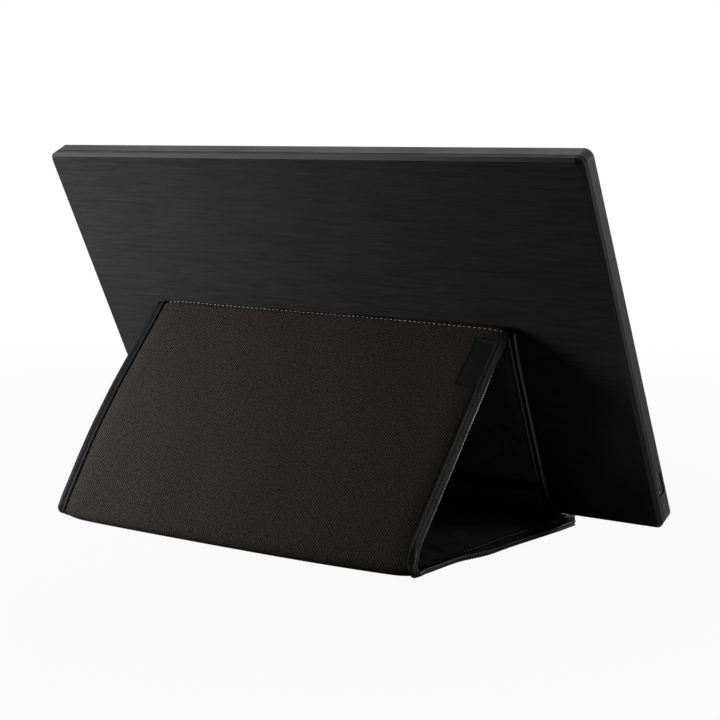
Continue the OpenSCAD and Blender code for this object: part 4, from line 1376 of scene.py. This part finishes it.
wear(["insulating_sheet"],
    moulded_finish("Insulating film", (0.020, 0.020, 0.025, 1), 0.32, 0.004, 0.00006))
wear(["main_board", "timing_board", "button_board"], board_lacquer())
wear(["board_chips"], moulded_finish("Chip resin", grey(0.011), 0.5, 0.00025))
wear(["shield_can"], metal_finish("Tinned can", (0.60, 0.61, 0.62, 1), 0.28, 700.0, 40.0))
wear(["side_socket"], metal_finish("Nickel plate", (0.60, 0.60, 0.58, 1), 0.22, 2400.0, 200.0))
wear(["socket_tongue"], contact_finish("Socket tongue", grey(0.008),
    (0.80, 0.60, 0.26, 1), contact_pitch, 0.55, 0.25))
wear(["ribbon_cable"], contact_finish("Flat ribbon", (0.55, 0.52, 0.42, 1),
    (0.42, 0.41, 0.37, 1), conductor_pitch, 0.5, 0.35))
wear(["push_switches"], switch_finish())
wear(["board_screws"],
    metal_finish("Zinc-plated screws", (0.56, 0.57, 0.60, 1), 0.3, 3000.0, 900.0))

# ---------------------------------------------------------------- the monitor's case
# The case is two mouldings that clip together: a rear cover with a fine brushed finish and
# a chamfer all round, and a front bezel. A narrow shadow gap runs between them.

cover_low, cover_high = panel_box("rear_cover")
chamfer_depth = 0.0021
brushed_dark, brushed_pale = grey(0.0172), grey(0.0285)
chamfer_gloss = 0.9


def brushed_finish():
    """Fine brushing along the width, and a lacquered chamfer along the upper edge."""
    made, tree, shader = new_material("Brushed black", Specular_IOR_Level=0.1, Coat_Roughness=0.2)
    place = on_panel(tree)
    lines = use(tree, fine_lines, Vector=place)
    up, depth = parts_of(tree, place)[1:]
    back, top = cover_low[2], cover_high[1]
    inside = ranged(tree, depth, back + 0.0001, back + 0.0003)
    before = ranged(tree, depth, back + chamfer_depth + 0.0001, back + chamfer_depth)
    chamfer = times(tree, inside, before, ranged(tree, up, top - 0.004, top - 0.002))
    dress(tree, shader,
        Base_Color=between(tree, lines["Streak"], brushed_dark, brushed_pale),
        Roughness=between(tree, lines["Streak"], 0.36, 0.5),
        Coat_Weight=times(tree, chamfer, chamfer_gloss),
        Normal=bump(tree, lines["Height"], 0.00003))
    return made


wear(["rear_cover"], brushed_finish())
wear(["front_bezel"],
    moulded_finish("Bezel plastic", (0.0075, 0.0075, 0.0078, 1), 0.42, 0.0006, 0.00012))

# ---------------------------------------------------------------- the buttons and the light window
# Four caps stand through the bezel's chin, each held in by a rim behind it. They are moulded
# smoother than the bezel, and a milky rod beside them carries the power light to the front.


def window_finish():
    """Milky acrylic, slightly cloudy."""
    made, tree, shader = new_material("Light window", Transmission_Weight=0.6, IOR=1.58)
    cloud = use(tree, patch_mask, Vector=where(tree), Size=0.0012)["Mask"]
    dress(tree, shader,
        Base_Color=between(tree, cloud, (0.68, 0.74, 0.80, 1), (0.80, 0.85, 0.88, 1)),
        Roughness=between(tree, cloud, 0.3, 0.42))
    return made


wear(["power_button", "menu_button", "up_button", "down_button"],
    moulded_finish("Button plastic", (0.016, 0.016, 0.017, 1), 0.3, 0.0005, 0.00003))
wear(["light_window"], window_finish())

# ---------------------------------------------------------------- the camera, table and light
# A plain pale table stands in a white room. One soft lamp lights the front panel, weaker
# ones its far side and the screen, and a narrow beam the cover's edge. Reflections see the
# room's white end, three softboxes, and the table's pale strips.

view_target = Vector((0.02185, -0.06847, 0.08666))
view_azimuth, view_elevation, view_roll = (math.radians(a) for a in (215.80, 7.51, 0.15))
view_distance = 1.07225
view_lens = 84.15

away = Vector((math.sin(view_azimuth) * math.cos(view_elevation),
    -math.cos(view_azimuth) * math.cos(view_elevation), math.sin(view_elevation)))
right = Vector((0, 0, 1)).cross(away).normalized()
upright = away.cross(right)
across_view = math.cos(view_roll) * right + math.sin(view_roll) * upright
up_view = math.cos(view_roll) * upright - math.sin(view_roll) * right
camera = placed("Camera", bpy.data.cameras.new("Camera"))
camera.data.lens = view_lens
camera.data.sensor_width = 36
camera.data.sensor_fit = "HORIZONTAL"
camera.data.clip_start = 0.01
turned = Matrix((across_view, up_view, away)).transposed().to_4x4()
camera.matrix_world = Matrix.Translation(view_target + view_distance * away) @ turned
bpy.context.scene.camera = camera


def lamp(name, kind, place, aim, power, **settings):
    """A lamp of one kind at its place, turned to what it lights."""
    made = placed(name, bpy.data.lights.new(name, kind))
    made.location = place
    made.rotation_euler = (Vector(aim) - Vector(place)).to_track_quat("-Z", "Y").to_euler()
    made.data.energy = power
    for label, value in settings.items():
        setattr(made.data, label, value)
    return made


def soft_lamp(name, place, aim, size, power, mirrored=True):
    """A round diffuser that the camera doesn't see."""
    made = lamp(name, "AREA", place, aim, power, shape="DISK", size=size)
    made.visible_camera = False
    made.visible_glossy = mirrored


soft_lamp("Key", (0.36, 0.28, 0.158), (0.02, -0.01, 0.09), 0.26, 2.68, mirrored=False)
soft_lamp("Rim", (-1.02, -0.47, 0.25), (0, 0, 0.05), 0.25, 3.8)
soft_lamp("Front", (0.3, -1.3, 0.9), (0, 0, 0.1), 0.8, 6)
lamp("Beam", "SPOT", (-0.6, 0.13, 0.06), (0, -0.005, 0.05), 3.0, spot_size=math.radians(15),
    spot_blend=0.8, shadow_soft_size=0.05)

ambient = 0.005
# each softbox: the way to it, the cosines of its full part and of its fading edge, its level
softboxes = [((-0.6, 0.31, 0.74), 0.96, 0.8, 0.6), ((0.75, 0.53, 0.40), 0.995, 0.94, 1.65),
    ((0.58, 0.33, 0.75), 0.98, 0.9, 0.45)]


def seen_by(tree):
    """Two masks: what the camera sees, and what a reflection or glass sees."""
    path = put(tree, "ShaderNodeLightPath").outputs
    return path["Is Camera Ray"], most(tree, path["Is Glossy Ray"], path["Is Transmission Ray"])


def room():
    """White for the camera, and for reflections white behind and above, where the sweep stands."""
    world = bpy.data.worlds.new("Room")
    bpy.context.scene.world = world
    world.use_nodes = True
    tree = world.node_tree
    tree.nodes.clear()
    camera_sees, gloss_sees = seen_by(tree)
    direction = where(tree, "Generated")
    way = parts_of(tree, direction)
    behind = reckon(tree, "SUBTRACT", times(tree, most(tree, way[2], 0.0), 0.7), way[1])
    behind = reckon(tree, "MULTIPLY_ADD", reckon(tree, "MINIMUM", way[0], 0.0), 0.42, behind)
    soft_edge = {"interpolation_type": "SMOOTHSTEP"}
    seen = ranged(tree, behind, 0.38, 0.85, 0.03, 1.0, **soft_edge)
    for aim, narrow, wide, level in softboxes:
        turn = put(tree, "ShaderNodeVectorMath", {0: direction, 1: Vector(aim).normalized()},
            operation="DOT_PRODUCT").outputs["Value"]
        seen = most(tree, seen, ranged(tree, turn, wide, narrow, 0.0, level, **soft_edge))
    above = reckon(tree, "SUBTRACT", seen, ambient)
    soft = reckon(tree, "MULTIPLY_ADD", gloss_sees, above, ambient)
    strength = most(tree, camera_sees, soft)
    backdrop = put(tree, "ShaderNodeBackground", {"Color": (1, 1, 1, 1), "Strength": strength})
    end = put(tree, "ShaderNodeOutputWorld")
    tree.links.new(backdrop.outputs[0], end.inputs[0])


table_half = 30.0
sweep_level, close_level, side_level, front_level = 0.36, 0.4, 0.7, 0.12


def reflected(tree, place):
    """How pale the table is to a reflection: a sweep behind the monitor, a strip close to the
    cover's low side, a paler one further out, and a weak one in front."""

    def band(number, off, on, level=1.0):
        return ranged(tree, place[number], off, on, 0.0, level)

    def from_side(off, on, level=1.0):
        return band(0, side_low - off, side_low - on, level)

    sweep = band(1, -0.1, -0.5, sweep_level)
    close = times(tree, from_side(0.0, 0.012, close_level), from_side(0.15, 0.07),
        band(1, -0.06, 0.0))
    side = times(tree, from_side(0.045, 0.08, side_level), from_side(0.6, 0.35),
        band(1, -0.22, -0.14))
    front = band(1, 0.13, 0.3, front_level)
    return most(tree, sweep, front, close, side)


def table():
    """White to the camera except in the object's shadow, and plain grey to the lamps' light."""
    wide = table_half
    mesh = bpy.data.meshes.new("Table")
    mesh.from_pydata([(-wide, -wide, -slump), (wide, -wide, -slump), (wide, wide, -slump),
        (-wide, wide, -slump)], [], [(0, 1, 2, 3)])
    made = placed("Table", mesh)
    material = bpy.data.materials.new("Table white")
    material.use_nodes = True
    tree = material.node_tree
    tree.nodes.clear()
    camera_sees, gloss_sees = seen_by(tree)
    spot = where(tree)
    distance = put(tree, "ShaderNodeVectorMath", {0: spot}, operation="LENGTH").outputs["Value"]
    far = ranged(tree, distance, 0.25, 1.0, 0.94, 1.0)
    share = most(tree, times(tree, camera_sees, far),
        times(tree, gloss_sees, reflected(tree, parts_of(tree, spot))))
    lit = put(tree, "ShaderNodeBsdfDiffuse", {"Color": grey(0.2)}).outputs[0]
    white = put(tree, "ShaderNodeEmission", {"Color": grey(1), "Strength": 1.0}).outputs[0]
    end = put(tree, "ShaderNodeOutputMaterial")
    tree.links.new(put(tree, "ShaderNodeMixShader", {0: share, 1: lit, 2: white}).outputs[0],
        end.inputs[0])
    mesh.materials.append(material)


room()
table()
bpy.context.scene.view_settings.view_transform = "Standard"
